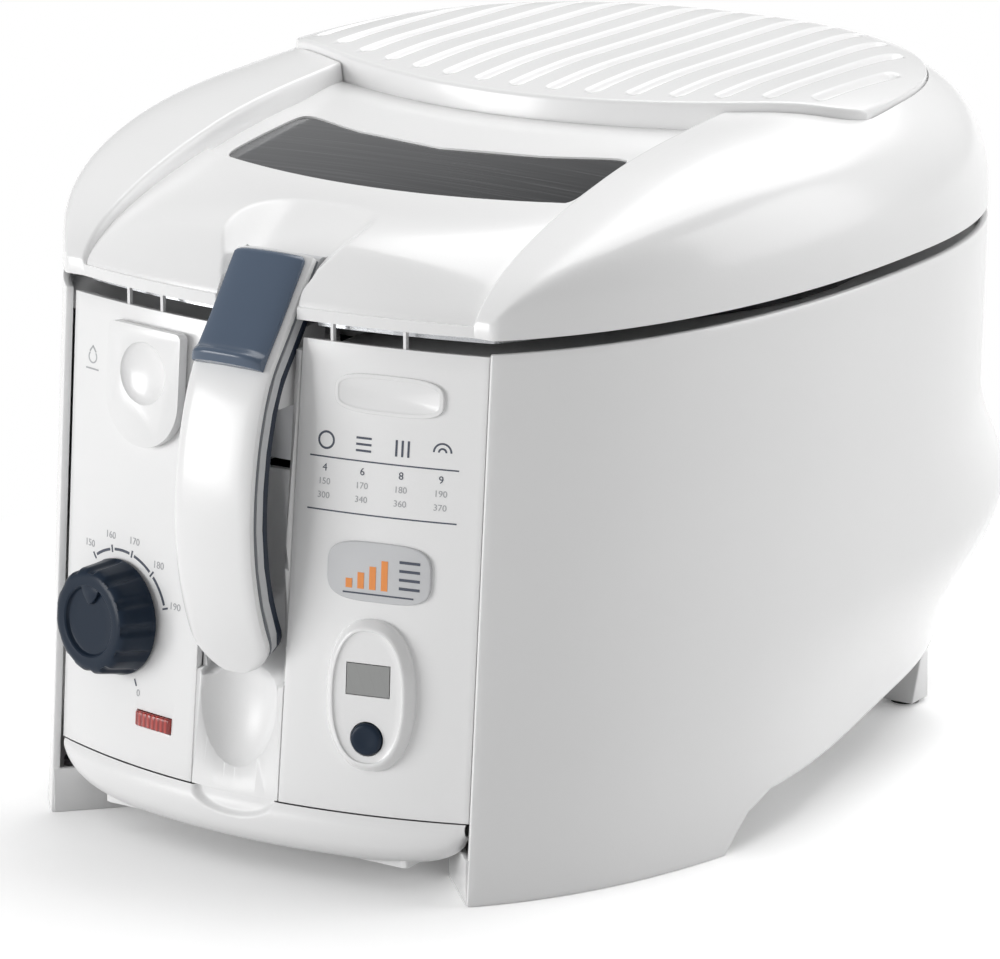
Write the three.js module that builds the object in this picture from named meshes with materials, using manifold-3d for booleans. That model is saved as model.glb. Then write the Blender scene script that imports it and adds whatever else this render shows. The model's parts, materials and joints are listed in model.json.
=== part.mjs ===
// Deep fryer with a turning basket, modelled as separate pieces.
// Units are millimetres. +Z is up, the front faces -Y, and the origin is at the bottom centre.
import * as THREE from 'three';
import { mergeVertices } from 'three/addons/utils/BufferGeometryUtils.js';
import Module from 'manifold-3d';

const wasm = await Module();
wasm.setup();

// ---------------------------------------------------------------- driving dimensions

// Whole object
const WIDTH = 270;
const DEPTH = 364;
const HEIGHT = 230;

// Clearances
const FIT = 0.3;              // between pieces that touch
const RUNNING = 0.6;          // between pieces that move past each other
const WALL = 2.6;             // moulded plastic

// Body plan: half of an ellipse in front, half of another behind, cut off by the front
const TOWER_PROUD = 9;        // rear tower behind the hull
const REAR_SHARE = 0.396;     // of the depth lies behind the widest section
const PLAN_REAR = REAR_SHARE * DEPTH;     // rear half axis
const PLAN_FRONT = DEPTH - PLAN_REAR;     // front half axis
const LID_DEPTH = 54;
const BODY_TOP = HEIGHT - LID_DEPTH;
const FIN_FOOT_SETBACK = 22;  // from the bow of the handle to the foot of the fins
const LEAN = 0.083;           // the front leans back by this much per millimetre of height
const REAR_SQUARENESS = 2.2;  // power of the rear half ellipse
const BULGE_SQUARENESS = 2.6;
const HULL_BULGE = 7;         // rear of the hull, low down
const BULGE_Z = 78;
const BULGE_REACH = 40;       // up and down from there
const HULL_TUCK = 24;         // the hull turns in by this much below the bulge
const TUCK_Z = [15, 75];
const DECK_TOP = BODY_TOP - 5.5;
const DECK_THICKNESS = 2.5;

// Front panels
const PANEL_SETBACK = 2.4;    // behind the fins
const PANEL_BULGE_LOW = 15.5;
const PANEL_BULGE_HIGH = 11;
const PANEL_FOOT = 26;
const PANEL_TOP = BODY_TOP - 1.5;
const PANEL_THICKNESS = 2.6;
const BAY_HALF_WIDTH = 17;
const BAY_DEPTH = 10;         // behind the top of the fins
const BAY_CLEARANCE = 12;     // from the back of the bay to the deck
const PART_LINE = 0.5;

// Legs and base
const LEG_RETURN_RUN = 21;    // the inner leaf of a front leg goes back by this much
const LEG_RETURN_TOP = 15;
const LEG_REAR_Y = -0.198 * DEPTH;
const REAR_LEG_X = 0.3593 * WIDTH;
const REAR_LEG_Y = 0.2692 * DEPTH;
const LEG_FLOOR_REAR_Y = 43 - DEPTH / 2;
const REAR_LEG_TOP = 33;
const PAD_THICKNESS = 3;
const BASE_FRONT_Z = 8.4;
const BASE_RECESS = 1.5;
const BASE_THICKNESS = 2.4;
const CHIN_PROUD = 2.2;

// Lid
const LID_GAP = 4.4;
const LID_SHOULDER = 60;      // width of the rounded shoulder
const LID_SHOULDER_POWER = 2.6;
const RAMP_HALF_WIDTH = 0.2852 * WIDTH;
const RAMP_POWER = 1.6;
const RAMP_FOOT_Z = BODY_TOP + 8;
const RAMP_HEAD_Z = HEIGHT - 11;
const RAMP_HEAD_Y = -0.022 * DEPTH;
const RAIL_POWER = 1.75;
const RAIL_HEAD_Y = 0.11 * DEPTH;
const LID_FRONT_SAG = 12.5;   // the lid's front edge is an arc in plan
const LID_WALL = 2.6;
const SCOOP_HALF_WIDTHS = [15.8, 24];    // at its foot and at its edge
const SCOOP_ENDS_Y = [42.5 - DEPTH / 2, 67 - DEPTH / 2];
const SCOOP_Z = [HEIGHT - 36, HEIGHT - 26];
const SLOT_REAR_Y = 57 - DEPTH / 2;
const HEAD_CLEARANCE = 1.2;
const LINER_Z = BODY_TOP + 1.2;
const LINER_INSET = 9;
const LINER_THICKNESS = 1.5;
const LINER_FLANGE = 1;
const LIP_TOP = HEIGHT - 34;
const LIP_FOOT = BODY_TOP + 3;
const LIP_CORNER = 14;
const WINDOW_V = [-0.2514 * DEPTH, -0.1401 * DEPTH];
const COVER_FLOOR_Z = HEIGHT - 14.5;
const WINDOW_HALF_WIDTH = RAMP_HALF_WIDTH - 9.4;
const WINDOW_TAPER = 0.953;   // its rear edge is shorter than its front edge
const WINDOW_THICKNESS = 3;

// Filter cover
const COVER_HALF_WIDTH = 0.4389 * WIDTH;
const COVER_FRONT_Y = -0.0192 * DEPTH;
const COVER_FRONT_SAG = 31;
const COVER_INSET = WIDTH / 2 - COVER_HALF_WIDTH + 0.5;
const COVER_PROUD = 1;
const COVER_WALL = 2.4;
const GROOVE_PITCH = 14.2;
const GROOVE_COUNT = 15;
const GROOVE_WIDTH = 4.2;
const GROOVE_DEPTH = 1.2;
const PAD_SIZE = [130, 84, 4.5];

// Lid hinge
const HINGE_Y_FROM_REAR = 5.5;
const HINGE_Z = BODY_TOP + 5;
const HINGE_PIN_RADIUS = 2.2;
const HINGE_BARREL_RADIUS = 4.6;
const HINGE_EAR_X = 0.1852 * WIDTH;
const HINGE_EAR_WIDTH = 9;
const TOWER_TOP = BODY_TOP - 7;
const TOWER_HALF_WIDTH = 0.2852 * WIDTH;
const TOWER_FOOT = 52;

// Handle
const HANDLE_HALF_WIDTH = 14.5;
const HANDLE_Z = [66, HEIGHT - 31];      // its tip and its head
const HANDLE_PIVOT = [43.8 - DEPTH / 2, HEIGHT - 37.1];
const HANDLE_HEAD_RADIUS = 10;
const HANDLE_CHEEK_RADIUS = 3.9;
const HANDLE_TIP_RADIUS = 12;
const HANDLE_CROWN = 1.2;
const HANDLE_PIN_RADIUS = 1.6;
const TONGUE_WIDTH = 8;
const TONGUE_EYE = 3.6;
const BRACKET_TOP = BODY_TOP;
const BRACKET_HALF_WIDTH = 13;
const FRONT_PAD_INSET = [2.3, 4];
const FRONT_PAD_RADIUS = 7;
const REAR_PAD_RADIUS = 5;
const SHELL_DEPTH = 3;
const TRIM_THICKNESS = 0.8;
const CORE_DEPTH = 3.2;
const BACK_DEPTH = 3.6;
const SLIDER_HALF_WIDTH = 13.2;
const SLIDER_PROUD = 2.6;
const SLIDER_LENGTH = 40;
const SLIDER_LIP = 3;
const SLIDER_STEM = 2;
const SLIDER_SLOT = [10, 34];
const BACK_SHORT = 14;         // the handle's back stops below its head

// Bowl, basket and drive. Their axis leans forward.
const BOWL_Y = 8;
const BOWL_RADIUS = 0.3022 * DEPTH;
const BOWL_WALL = 1.5;
const BOWL_FLANGE = 7;
const BOWL_FLOOR = 68.5;
const BOWL_CORNER = 12;
const BOWL_COUNT = 36;        // facets round the bowl
const AXIS_LEAN = THREE.MathUtils.degToRad(12);
const BASKET_RADIUS = BOWL_RADIUS - 26;
const BASKET_HEIGHT = 46;
const BASKET_CLEARANCE = 9;   // above the bowl floor
const WIRE = 1.4;             // radius of the basket's wires
const BASKET_WIRES = 12;
const BASKET_COUNT = 20;
const HUB_FOOT = 2.6;
const HEATER_RADII = [BOWL_RADIUS - 58, BOWL_RADIUS - 30];
const MOTOR_RADIUS = 30;
const MOTOR_HEIGHT = 24;
const CARRIER_CHEEK = 1.4;
const HANGER_THICKNESS = 1.6;
const HANGER_FOOT = 87;
const CARRIER_TOP = BODY_TOP - 35;
const SPINDLE_RADIUS = 6;
const SPINDLE_TIP_RADIUS = 3;
const SPINDLE_HEIGHT = 14;
const HUB_RADIUS = 10.5;
const CARRIER_THICKNESS = 1.6;
const CARRIER_HALF_WIDTH = 8;

// Controls
const KNOB_AT = [-0.1944 * WIDTH, 73];
const KNOB_RADIUS = 19;
const KNOB_FACE_RADIUS = 15.5;
const KNOB_HEIGHT = 19.2;
const KNOB_SHAFT_RADIUS = 3;
const KNOB_FLUTES = 12;
const TIMER_AT = [0.1759 * WIDTH, 64.5];
const TIMER_HALF_WIDTH = 15;
const TIMER_HALF_HEIGHT = 24.5;
const TIMER_PROUD = 4;
const TIMER_BEHIND = 8;
const CELL_RADIUS = 10;
const DISPLAY_SIZE = [15, 10.5];
const DISPLAY_UP = 5.5;
const BUTTON_RADIUS = 5.2;
const BUTTON_DOWN = 13.5;
const LENS_AT = [-0.1278 * WIDTH, 42];
const LENS_SIZE = [15.5, 5];
const DOOR_AT = [-0.1593 * WIDTH, BODY_TOP - 26];
const DOOR_HALF_WIDTH = 16.2;
const DOOR_HEIGHT = 39;
const DOOR_PROUD = 3.6;
const POCKET_DEPTH = 22;
const HOSE_RADIUS = 5;
const HOSE_BORE = 3;
const HOSE_DEPTH = -12;       // behind the panel
const HOSE_TOP = 8;
const HOSE_X = KNOB_AT[0] + 24;          // it passes beside the thermostat
const SPOUT_AT = [HOSE_X - 5.5, BOWL_Y - BOWL_RADIUS + 14, 53];
const SPOUT_LENGTH = 24;
const FINGER_UP = 4.5;
const INLET_RADIUS = 7;
const INLET_AT = [0.1667 * WIDTH, BODY_TOP - 50];
const DISH_Z = [58, 86];      // the bay's floor rises from the finger dish to the back
const RELEASE_HALF_WIDTH = 13;
const RELEASE_Z = [BODY_TOP - 48, BODY_TOP - 25];
const HOOK_Z = BODY_TOP + 5;
const SPRING_LENGTH = 8.4;
const HOOK_NOSE = 2;
const HOOK_X = [9, 14];
const SCREW_HEAD_RADIUS = 3.5;
const SCREWS = [[-0.185, -0.275], [0.185, -0.275], [-0.26, 0.165], [0.26, 0.165]]
  .map(([across, back]) => [across * WIDTH, back * DEPTH]);

// ---------------------------------------------------------------- derived places

const HALF_WIDTH = WIDTH / 2;
const FRONT_Y = -DEPTH / 2;
const REAR_Y = DEPTH / 2;
const LID_BASE = BODY_TOP + LID_GAP;
const PLAN_CENTRE_Y = REAR_Y - TOWER_PROUD - PLAN_REAR;
const FIN_FOOT_Y = FRONT_Y + FIN_FOOT_SETBACK;
const finY = (z) => FIN_FOOT_Y + LEAN * z;
const planCentreY = (z) => PLAN_CENTRE_Y - LEAN * (BODY_TOP - Math.min(z, BODY_TOP));
const FIN_X = HALF_WIDTH * Math.sqrt(1 - ((finY(BODY_TOP) - PLAN_CENTRE_Y) / PLAN_FRONT) ** 2);
const FRONT_PAD = [FIN_X - FRONT_PAD_INSET[0], LEG_FLOOR_REAR_Y - FRONT_PAD_INSET[1]];
const HINGE_Y = REAR_Y - HINGE_Y_FROM_REAR;
const BAY_BACK_Y = finY(BODY_TOP) + BAY_DEPTH;
const BOWL_INSIDE = (BOWL_RADIUS - BOWL_WALL) * Math.cos(Math.PI / BOWL_COUNT);
const HANGER_Y = BOWL_Y + FIT - Math.sqrt(BOWL_INSIDE ** 2
  - (CARRIER_HALF_WIDTH + RUNNING + CARRIER_CHEEK) ** 2);
const HOOK_Y = BAY_BACK_Y + WALL + RUNNING;
const SPRING_Y = BAY_BACK_Y + 4 + FIT;
const CATCH_Y = HOOK_Y - HOOK_NOSE - FIT;
const FRONT_RUN = PLAN_CENTRE_Y - finY(BODY_TOP);
const PAD_Y = PLAN_CENTRE_Y + 48;
const wallX = (behind) => (HALF_WIDTH - WALL)
  * Math.sqrt(1 - ((FRONT_RUN - behind) / (PLAN_FRONT - WALL)) ** 2);
const PANEL_HALF_WIDTH = wallX(PANEL_SETBACK) - FIT - RUNNING;

// Curves, levels and the number of facets
const HULL_LEVELS = [0, 22, 42, 60, BULGE_Z, 96, 118];
const PLAN_COUNT = 40;
const INNER_COUNT = 28;       // facets round hidden faces
const RIM_CURVE = [[-1, 0], [2, 6], [8, 12], [20, 17]].map(([back, z]) => [LEG_REAR_Y + back, z])
  .concat([[0, 20], [0.165 * DEPTH, 24], [0.3 * DEPTH, 29], [REAR_Y, 36]]);
const CHIN_PROFILE = [[-14, 8.2], [-7, 8.6], [-1.5, 10.8], [1.4, 14.5], [CHIN_PROUD, 19], [1.9, 22.5],
  [0.3, 25.6]];
// The underside of the base plate, a little above the rim.
const BASE_LINE = [[FIN_FOOT_Y, BASE_FRONT_Z], [LEG_REAR_Y, BASE_FRONT_Z],
  ...RIM_CURVE.slice(3).map(([y, z]) => [y, z + BASE_RECESS])];
const POCKET_GROW = -4.2;       // the pocket's mouth is smaller than the door
const LID_INSETS = [0, 0.5, 2.4, 7, 15, 27, 42, LID_SHOULDER];
// The middle of the handle's face, from the tip up, as setback from the front and share of its rise.
const HANDLE_BOW = [[12.5, 0], [5, 0.1353], [1.2, 0.2556], [0, 0.3835], [1.5, 0.5113],
  [5, 0.6316], [11, 0.7444], [23, 0.8647], [36.5, 1]];
const TIP_RUNS = [0, 1, 3, 6.5, 12];
const HANDLE_SHARES = [-1, -0.92, -0.55, 0, 0.55, 0.92, 1];
// Depths of the four layers behind the face.
const TRIM_DEPTH = SHELL_DEPTH + FIT;
const CORE_DEPTH_AT = TRIM_DEPTH + TRIM_THICKNESS + FIT;
const BACK_DEPTH_AT = CORE_DEPTH_AT + CORE_DEPTH + FIT;
const HANDLE_DEPTH = BACK_DEPTH_AT + BACK_DEPTH;

const mix = THREE.MathUtils.lerp;
const smooth = THREE.MathUtils.smoothstep;

// ---------------------------------------------------------------- tools

// A closed three.js geometry as a manifold solid.
function solid(geometry) {
  const bare = geometry.clone();
  for (const name of Object.keys(bare.attributes)) {
    if (name !== 'position') bare.deleteAttribute(name);
  }
  const welded = mergeVertices(bare, 1e-4);
  const triVerts = [];
  const index = welded.index.array;
  for (let i = 0; i < index.length; i += 3) {
    const [a, b, c] = [index[i], index[i + 1], index[i + 2]];
    if (a !== b && b !== c && c !== a) triVerts.push(a, b, c);
  }
  const mesh = new wasm.Mesh({
    numProp: 3,
    vertProperties: new Float32Array(welded.attributes.position.array),
    triVerts: new Uint32Array(triVerts),
  });
  return new wasm.Manifold(mesh);
}

function geometryOf(body) {
  const { vertProperties, triVerts } = body.getMesh();
  const geometry = new THREE.BufferGeometry();
  geometry.setAttribute('position', new THREE.BufferAttribute(vertProperties.slice(), 3));
  geometry.setIndex([...triVerts]);
  geometry.computeVertexNormals();
  return geometry;
}

function finish(colour, roughness, metalness = 0) {
  return new THREE.MeshStandardMaterial({ color: colour, roughness, metalness });
}

function piece(name, body, material) {
  const made = new THREE.Mesh(geometryOf(body), material);
  made.name = name;
  return made;
}

// Rings of points, all of one count, joined into a closed skin. A ring runs anticlockwise
// seen from above and the rings rise.
function loft(rings, caps = null) {
  const count = rings[0].length;
  const positions = rings.flat().flatMap((p) => [p.x, p.y, p.z]);
  const index = [];
  for (let k = 0; k + 1 < rings.length; k += 1) {
    for (let i = 0; i < count; i += 1) {
      const j = (i + 1) % count;
      const [a, b] = [k * count + i, k * count + j];
      const [c, d] = [a + count, b + count];
      index.push(a, b, d, a, d, c);
    }
  }
  const flat = (ring) => THREE.ShapeUtils.triangulateShape(ring.map((p) => new THREE.Vector2(p.x, p.y)),
    []);
  const top = (rings.length - 1) * count;
  for (const [a, b, c] of caps ?? flat(rings[0])) index.push(c, b, a);
  for (const [a, b, c] of caps ?? flat(rings.at(-1))) index.push(top + a, top + b, top + c);
  const geometry = new THREE.BufferGeometry();
  geometry.setAttribute('position', new THREE.Float32BufferAttribute(positions, 3));
  geometry.setIndex(index);
  return solid(geometry);
}

// The end of a loft as strips between mirrored points, for an even ring that starts on its axis.
function strips(count) {
  const made = [];
  for (let i = 0; i < count / 2; i += 1) {
    const [a, b, c, d] = [i, i + 1, count - i - 1, (count - i) % count];
    if (b !== c) made.push([a, b, c]);
    if (a !== d) made.push([a, c, d]);
  }
  return made;
}

// A closed slab between two surfaces over the same grid. near(u, v) and far(u, v) give points,
// and near faces towards cross(du, dv).
function slab(us, vs, near, far) {
  const points = [];
  const index = [];
  for (const surface of [near, far]) {
    for (const v of vs) {
      for (const u of us) points.push(...surface(u, v));
    }
  }
  const [m, n] = [us.length, vs.length];
  const at = (side, i, j) => side * m * n + j * m + i;
  const quad = (a, b, c, d) => index.push(a, b, c, a, c, d);
  for (let j = 0; j + 1 < n; j += 1) {
    for (let i = 0; i + 1 < m; i += 1) {
      quad(at(0, i, j), at(0, i + 1, j), at(0, i + 1, j + 1), at(0, i, j + 1));
      quad(at(1, i, j), at(1, i, j + 1), at(1, i + 1, j + 1), at(1, i + 1, j));
    }
  }
  for (let i = 0; i + 1 < m; i += 1) {
    quad(at(0, i + 1, 0), at(0, i, 0), at(1, i, 0), at(1, i + 1, 0));
    quad(at(0, i, n - 1), at(0, i + 1, n - 1), at(1, i + 1, n - 1), at(1, i, n - 1));
  }
  for (let j = 0; j + 1 < n; j += 1) {
    quad(at(0, 0, j), at(0, 0, j + 1), at(1, 0, j + 1), at(1, 0, j));
    quad(at(0, m - 1, j + 1), at(0, m - 1, j), at(1, m - 1, j), at(1, m - 1, j + 1));
  }
  const geometry = new THREE.BufferGeometry();
  geometry.setAttribute('position', new THREE.Float32BufferAttribute(points, 3));
  geometry.setIndex(index);
  return solid(geometry);
}

function steps(from, to, count) {
  return Array.from({ length: count + 1 }, (_, i) => mix(from, to, i / count));
}

function box([x0, x1], [y0, y1], [z0, z1]) {
  const geometry = new THREE.BoxGeometry(x1 - x0, y1 - y0, z1 - z0);
  return solid(geometry.translate((x0 + x1) / 2, (y0 + y1) / 2, (z0 + z1) / 2));
}

// A rod from one level to another along an axis, 'x', 'y' or 'z', about a centre line.
function rod(axis, radius, from, to, [p, q], sides = 24, farRadius = radius) {
  const geometry = new THREE.CylinderGeometry(farRadius, radius, to - from, sides);
  geometry.translate(0, (from + to) / 2, 0);
  if (axis === 'x') geometry.rotateZ(-Math.PI / 2).translate(0, p, q);
  if (axis === 'y') geometry.translate(p, 0, q);
  if (axis === 'z') geometry.rotateX(Math.PI / 2).translate(p, q, 0);
  return solid(geometry);
}

// An outline in Y and Z pushed through along X.
function throughX(outline, from, to) {
  const shape = new THREE.Shape(outline.map(([y, z]) => new THREE.Vector2(y, z)));
  const geometry = new THREE.ExtrudeGeometry(shape, { depth: to - from, bevelEnabled: false });
  return solid(geometry.rotateX(Math.PI / 2).rotateZ(Math.PI / 2).translate(from, 0, 0));
}

// An outline in X and Y pushed up along Z.
function throughZ(outline, from, to) {
  const shape = new THREE.Shape(outline.map(([x, y]) => new THREE.Vector2(x, y)));
  const geometry = new THREE.ExtrudeGeometry(shape, { depth: to - from, bevelEnabled: false });
  return solid(geometry.translate(0, 0, from));
}

// A profile of radius and height turned about Z.
function turned(profile, segments = 48) {
  const points = profile.map(([r, z]) => new THREE.Vector2(r, z));
  const geometry = new THREE.LatheGeometry([...points, points[0]], segments);
  return solid(geometry.rotateX(Math.PI / 2));
}

function placed(body, matrix) {
  return solid(geometryOf(body).applyMatrix4(matrix));
}

function arc([cx, cy], radius, from, to, count) {
  return steps(from, to, count).map((t) => [cx + radius * Math.cos(t), cy + radius * Math.sin(t)]);
}

function allOf(bodies) {
  return bodies.reduce((sum, body) => sum.add(body));
}

// An even superellipse, or any outline that is wider than it is round.
function oval(halfWidth, halfHeight, power, count) {
  return steps(0, 2 * Math.PI, count).slice(0, -1).map((t) => [
    halfWidth * Math.sign(Math.cos(t)) * Math.abs(Math.cos(t)) ** (2 / power),
    halfHeight * Math.sign(Math.sin(t)) * Math.abs(Math.sin(t)) ** (2 / power),
  ]);
}

// ---------------------------------------------------------------- finishes

const white = () => finish(0xf2f2f1, 0.28);
const navy = () => finish(0x1b2a3d, 0.35);
const paleGrey = () => finish(0xcfd0d0, 0.4);
const darkGrey = () => finish(0x4a4b4c, 0.4);
const steel = () => finish(0xb9bcc0, 0.3, 0.9);
const coating = () => finish(0x35373a, 0.5, 0.2);
const rubber = () => finish(0x2b2b2c, 0.8);
const signalRed = () => finish(0xb02a26, 0.25);

// ---------------------------------------------------------------- the front surface

function panelBulge(z) {
  return mix(PANEL_BULGE_LOW, PANEL_BULGE_HIGH, (z - PANEL_FOOT) / (BODY_TOP - PANEL_FOOT));
}

function panelY(x, z) {
  return finY(z) + PANEL_SETBACK - panelBulge(z) * (1 - (x / PANEL_HALF_WIDTH) ** 2);
}

// The frame of a control on the front: x to the right, y up and z out of the panel.
function controlFrame([x, z]) {
  const right = new THREE.Vector3(1, (2 * panelBulge(z) * x) / PANEL_HALF_WIDTH ** 2, 0).normalize();
  const out = right.clone().cross(new THREE.Vector3(0, LEAN, 1)).normalize();
  const up = out.clone().cross(right);
  return new THREE.Matrix4().makeBasis(right, up, out).setPosition(x, panelY(x, z), z);
}

function controlGroup(at, ...meshes) {
  const group = new THREE.Group();
  group.applyMatrix4(controlFrame(at));
  group.add(...meshes);
  return group;
}

// Everything in front of the panels' surface, moved back by an offset.
function aheadOfPanels(offset) {
  const reach = HALF_WIDTH;
  return slab(steps(-reach, reach, 20), [-10, BODY_TOP + 10],
    (x, z) => [x, FRONT_Y - WIDTH, z], (x, z) => [x, panelY(x, z) + offset, z]);
}

// ---------------------------------------------------------------- the hull

const bell = (z) => (Math.abs(z - BULGE_Z) < BULGE_REACH
  ? Math.cos(((z - BULGE_Z) / BULGE_REACH) * (Math.PI / 2)) ** 2 : 0);
const hullRearY = (z) => REAR_Y - TOWER_PROUD + HULL_BULGE * bell(z);

function planPoint(t, centreY, halfWidth, front, rear, squareness) {
  const [c, s] = [Math.cos(t), Math.sin(t)];
  const power = s > 0 ? 2 / squareness : 1;
  const x = halfWidth * Math.sign(c) * Math.abs(c) ** power;
  const y = s > 0 ? rear * s ** power : front * s;
  return new THREE.Vector3(x, centreY + y, 0);
}

function planRing(z, inset, count = PLAN_COUNT) {
  const centreY = planCentreY(z);
  const squareness = mix(REAR_SQUARENESS, BULGE_SQUARENESS, bell(z));
  const tuck = HULL_TUCK * (1 - smooth(z, ...TUCK_Z));
  return steps(0, 2 * Math.PI, count).slice(0, -1).map((t) => {
    const rear = hullRearY(z) - centreY - inset;
    const p = planPoint(t, centreY, HALF_WIDTH - inset, PLAN_FRONT - inset, rear, squareness);
    const pull = tuck * smooth(p.y, LEG_REAR_Y, LEG_REAR_Y + HALF_WIDTH);
    const keep = 1 - pull / Math.hypot(p.x, p.y - centreY);
    return new THREE.Vector3(p.x * keep, centreY + (p.y - centreY) * keep, z);
  });
}

function hullSolid(inset, levels, topRound) {
  const rings = levels.map((z) => planRing(z, inset));
  if (topRound) rings.push(planRing(BODY_TOP - topRound, inset), planRing(BODY_TOP, inset + topRound));
  return loft(rings);
}

function belowRim(drop) {
  const curve = RIM_CURVE.map(([y, z]) => [y, z - drop]);
  return throughX([[LEG_REAR_Y, -WALL * 4], ...curve.slice(1), [REAR_Y + 20, 36 - drop],
    [REAR_Y + 20, -WALL * 4]], -WIDTH, WIDTH);
}

function housingShell() {
  const outer = hullSolid(0, HULL_LEVELS, 1);
  const hollow = hullSolid(WALL, [-5, ...HULL_LEVELS.slice(1), BODY_TOP + 5], 0);
  const aheadOfFins = throughX([[FRONT_Y - WIDTH, -5], [finY(-5), -5], [finY(HEIGHT), HEIGHT],
    [FRONT_Y - WIDTH, HEIGHT]], -WIDTH, WIDTH);
  let shell = outer.subtract(hollow).subtract(aheadOfFins).subtract(belowRim(0));
  const deckRings = [DECK_TOP - DECK_THICKNESS, DECK_TOP].map((z) => planRing(z, WALL / 2));
  const bowlHole = rod('z', BOWL_RADIUS + 1, 0, HEIGHT, [0, BOWL_Y], BOWL_COUNT);
  const bayCut = box([-BAY_HALF_WIDTH - 4, BAY_HALF_WIDTH + 4], [FRONT_Y, BAY_BACK_Y + BAY_CLEARANCE],
    [0, HEIGHT]);
  const deck = loft(deckRings).subtract(bowlHole).subtract(bayCut)
    .subtract(aheadOfPanels(PANEL_THICKNESS + FIT));
  shell = shell.add(deck);
  for (const side of [-1, 1]) shell = shell.add(legReturn(side)).add(legFloor(side));
  return piece('housing_shell', shell, white());
}

// The inner leaf of a front leg, from the foot of the fin inward and back.
function legReturn(side, grow = 0) {
  const run = new THREE.Vector2(-1, 1).normalize();
  const across = new THREE.Vector2(-run.y, run.x).negate();
  const length = LEG_RETURN_RUN * Math.SQRT2;
  const ring = (z) => {
    const start = new THREE.Vector2(FIN_X - WALL / 4, finY(z) + WALL / 8).addScaledVector(across, -grow);
    const corners = [[0, 0], [WALL + 2 * grow, 0], [WALL + 2 * grow, length + grow], [0, length + grow]];
    const points = corners.map(([a, l]) => start.clone().addScaledVector(across, a)
      .addScaledVector(run, l));
    const placedPoints = points.map((q) => new THREE.Vector3(side * q.x, q.y, z));
    return side > 0 ? placedPoints : placedPoints.reverse();
  };
  return loft([ring(-grow), ring(LEG_RETURN_TOP + grow)]);
}

// The floor across the foot of a front leg, which carries its pad.
function legFloor(side) {
  const inner = FIN_X - LEG_RETURN_RUN;
  const outline = [[FIN_X - WALL / 2, FIN_FOOT_Y + WALL], [FIN_X + LEG_RETURN_RUN, LEG_FLOOR_REAR_Y],
    [inner + WALL, LEG_FLOOR_REAR_Y]].map(([x, y]) => [side * x, y]);
  const plate = throughZ(side > 0 ? outline : outline.reverse(), PAD_THICKNESS, PAD_THICKNESS + WALL);
  return plate.intersect(hullSolid(WALL / 2, [-5, 12], 0));
}

// ---------------------------------------------------------------- base plate with the chin

function chin() {
  const half = PANEL_HALF_WIDTH - 1;
  const fall = (x) => Math.max(0.15, (1 - (Math.abs(x) / (half + 1)) ** 7) ** 0.5);
  const near = (x, k) => {
    const [out, z] = CHIN_PROFILE[k];
    const top = CHIN_PROFILE.at(-1)[1];
    return [x, panelY(x, PANEL_FOOT) - out * fall(x), top - (top - z) * fall(x)];
  };
  const far = (x, k) => {
    const [, y, z] = near(x, k);
    return [x, y + WALL, z + WALL * 0.8 * (1 - k / CHIN_PROFILE.length) * fall(x)];
  };
  return slab(steps(-half, half, 14), CHIN_PROFILE.map((_, k) => k), near, far);
}

function basePlateZ(y) {
  const k = BASE_LINE.findIndex(([far]) => far > y);
  const [[y0, z0], [y1, z1]] = [BASE_LINE[k - 1], BASE_LINE[k]];
  return mix(z0, z1, (y - y0) / (y1 - y0));
}

function basePlate() {
  const upper = BASE_LINE.map(([y, z]) => [y, z + BASE_THICKNESS]).reverse();
  const inside = hullSolid(WALL + FIT, [-5, ...HULL_LEVELS.slice(1), BODY_TOP], 0);
  const wide = box([-WIDTH, WIDTH], [LEG_FLOOR_REAR_Y + FIT, REAR_Y], [0, BODY_TOP]);
  const front = FIN_X - LEG_RETURN_RUN - 2;
  const plan = wide.add(box([-front, front], [FRONT_Y, 0], [0, BODY_TOP]));
  let plate = throughX([...BASE_LINE, ...upper], -WIDTH, WIDTH).intersect(inside).intersect(plan);
  plate = plate.subtract(aheadOfPanels(WALL / 2)).add(chin());
  const legRoom = inside.add(belowRim(FIT));
  for (const side of [-1, 1]) plate = plate.subtract(legReturn(side, FIT))
    .add(rearLeg(side).intersect(legRoom));
  for (const x of steps(-30, 30, 4)) {
    plate = plate.subtract(box([x - 1.5, x + 1.5], [-0.124 * DEPTH, -5], [0, 40]));
  }
  for (const [x, y] of SCREWS) plate = plate.subtract(rod('z', 1.8, 0, 60, [x, y], 8));
  return piece('base_plate', plate, white());
}

// A rear leg: an angle that narrows towards the floor.
function rearLeg(side) {
  const ring = (z, size, x, y) => {
    const leaf = size * 0.42;
    const points = [[size, -size], [size, size], [-size, size], [-size, size - leaf],
      [size - leaf, size - leaf], [size - leaf, -size]];
    const made = points.map(([a, b]) => new THREE.Vector3(side * (x + a), y + b, z));
    return side > 0 ? made : made.reverse();
  };
  return loft([ring(PAD_THICKNESS, 6, REAR_LEG_X, REAR_LEG_Y),
    ring(REAR_LEG_TOP, 9, REAR_LEG_X - 5, REAR_LEG_Y - 6)]);
}

function footPad(name, x, y, radius) {
  return piece(name, rod('z', radius, 0, PAD_THICKNESS - FIT, [x, y], 16), rubber());
}

function baseScrew(name, [x, y]) {
  const z = basePlateZ(y) - FIT;
  const head = rod('z', SCREW_HEAD_RADIUS, z - 2, z, [x, y], 10);
  return piece(name, head.add(rod('z', 1.5, z - 1, z + 9, [x, y], 6)), steel());
}

// ---------------------------------------------------------------- rear tower and lid hinge

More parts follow.
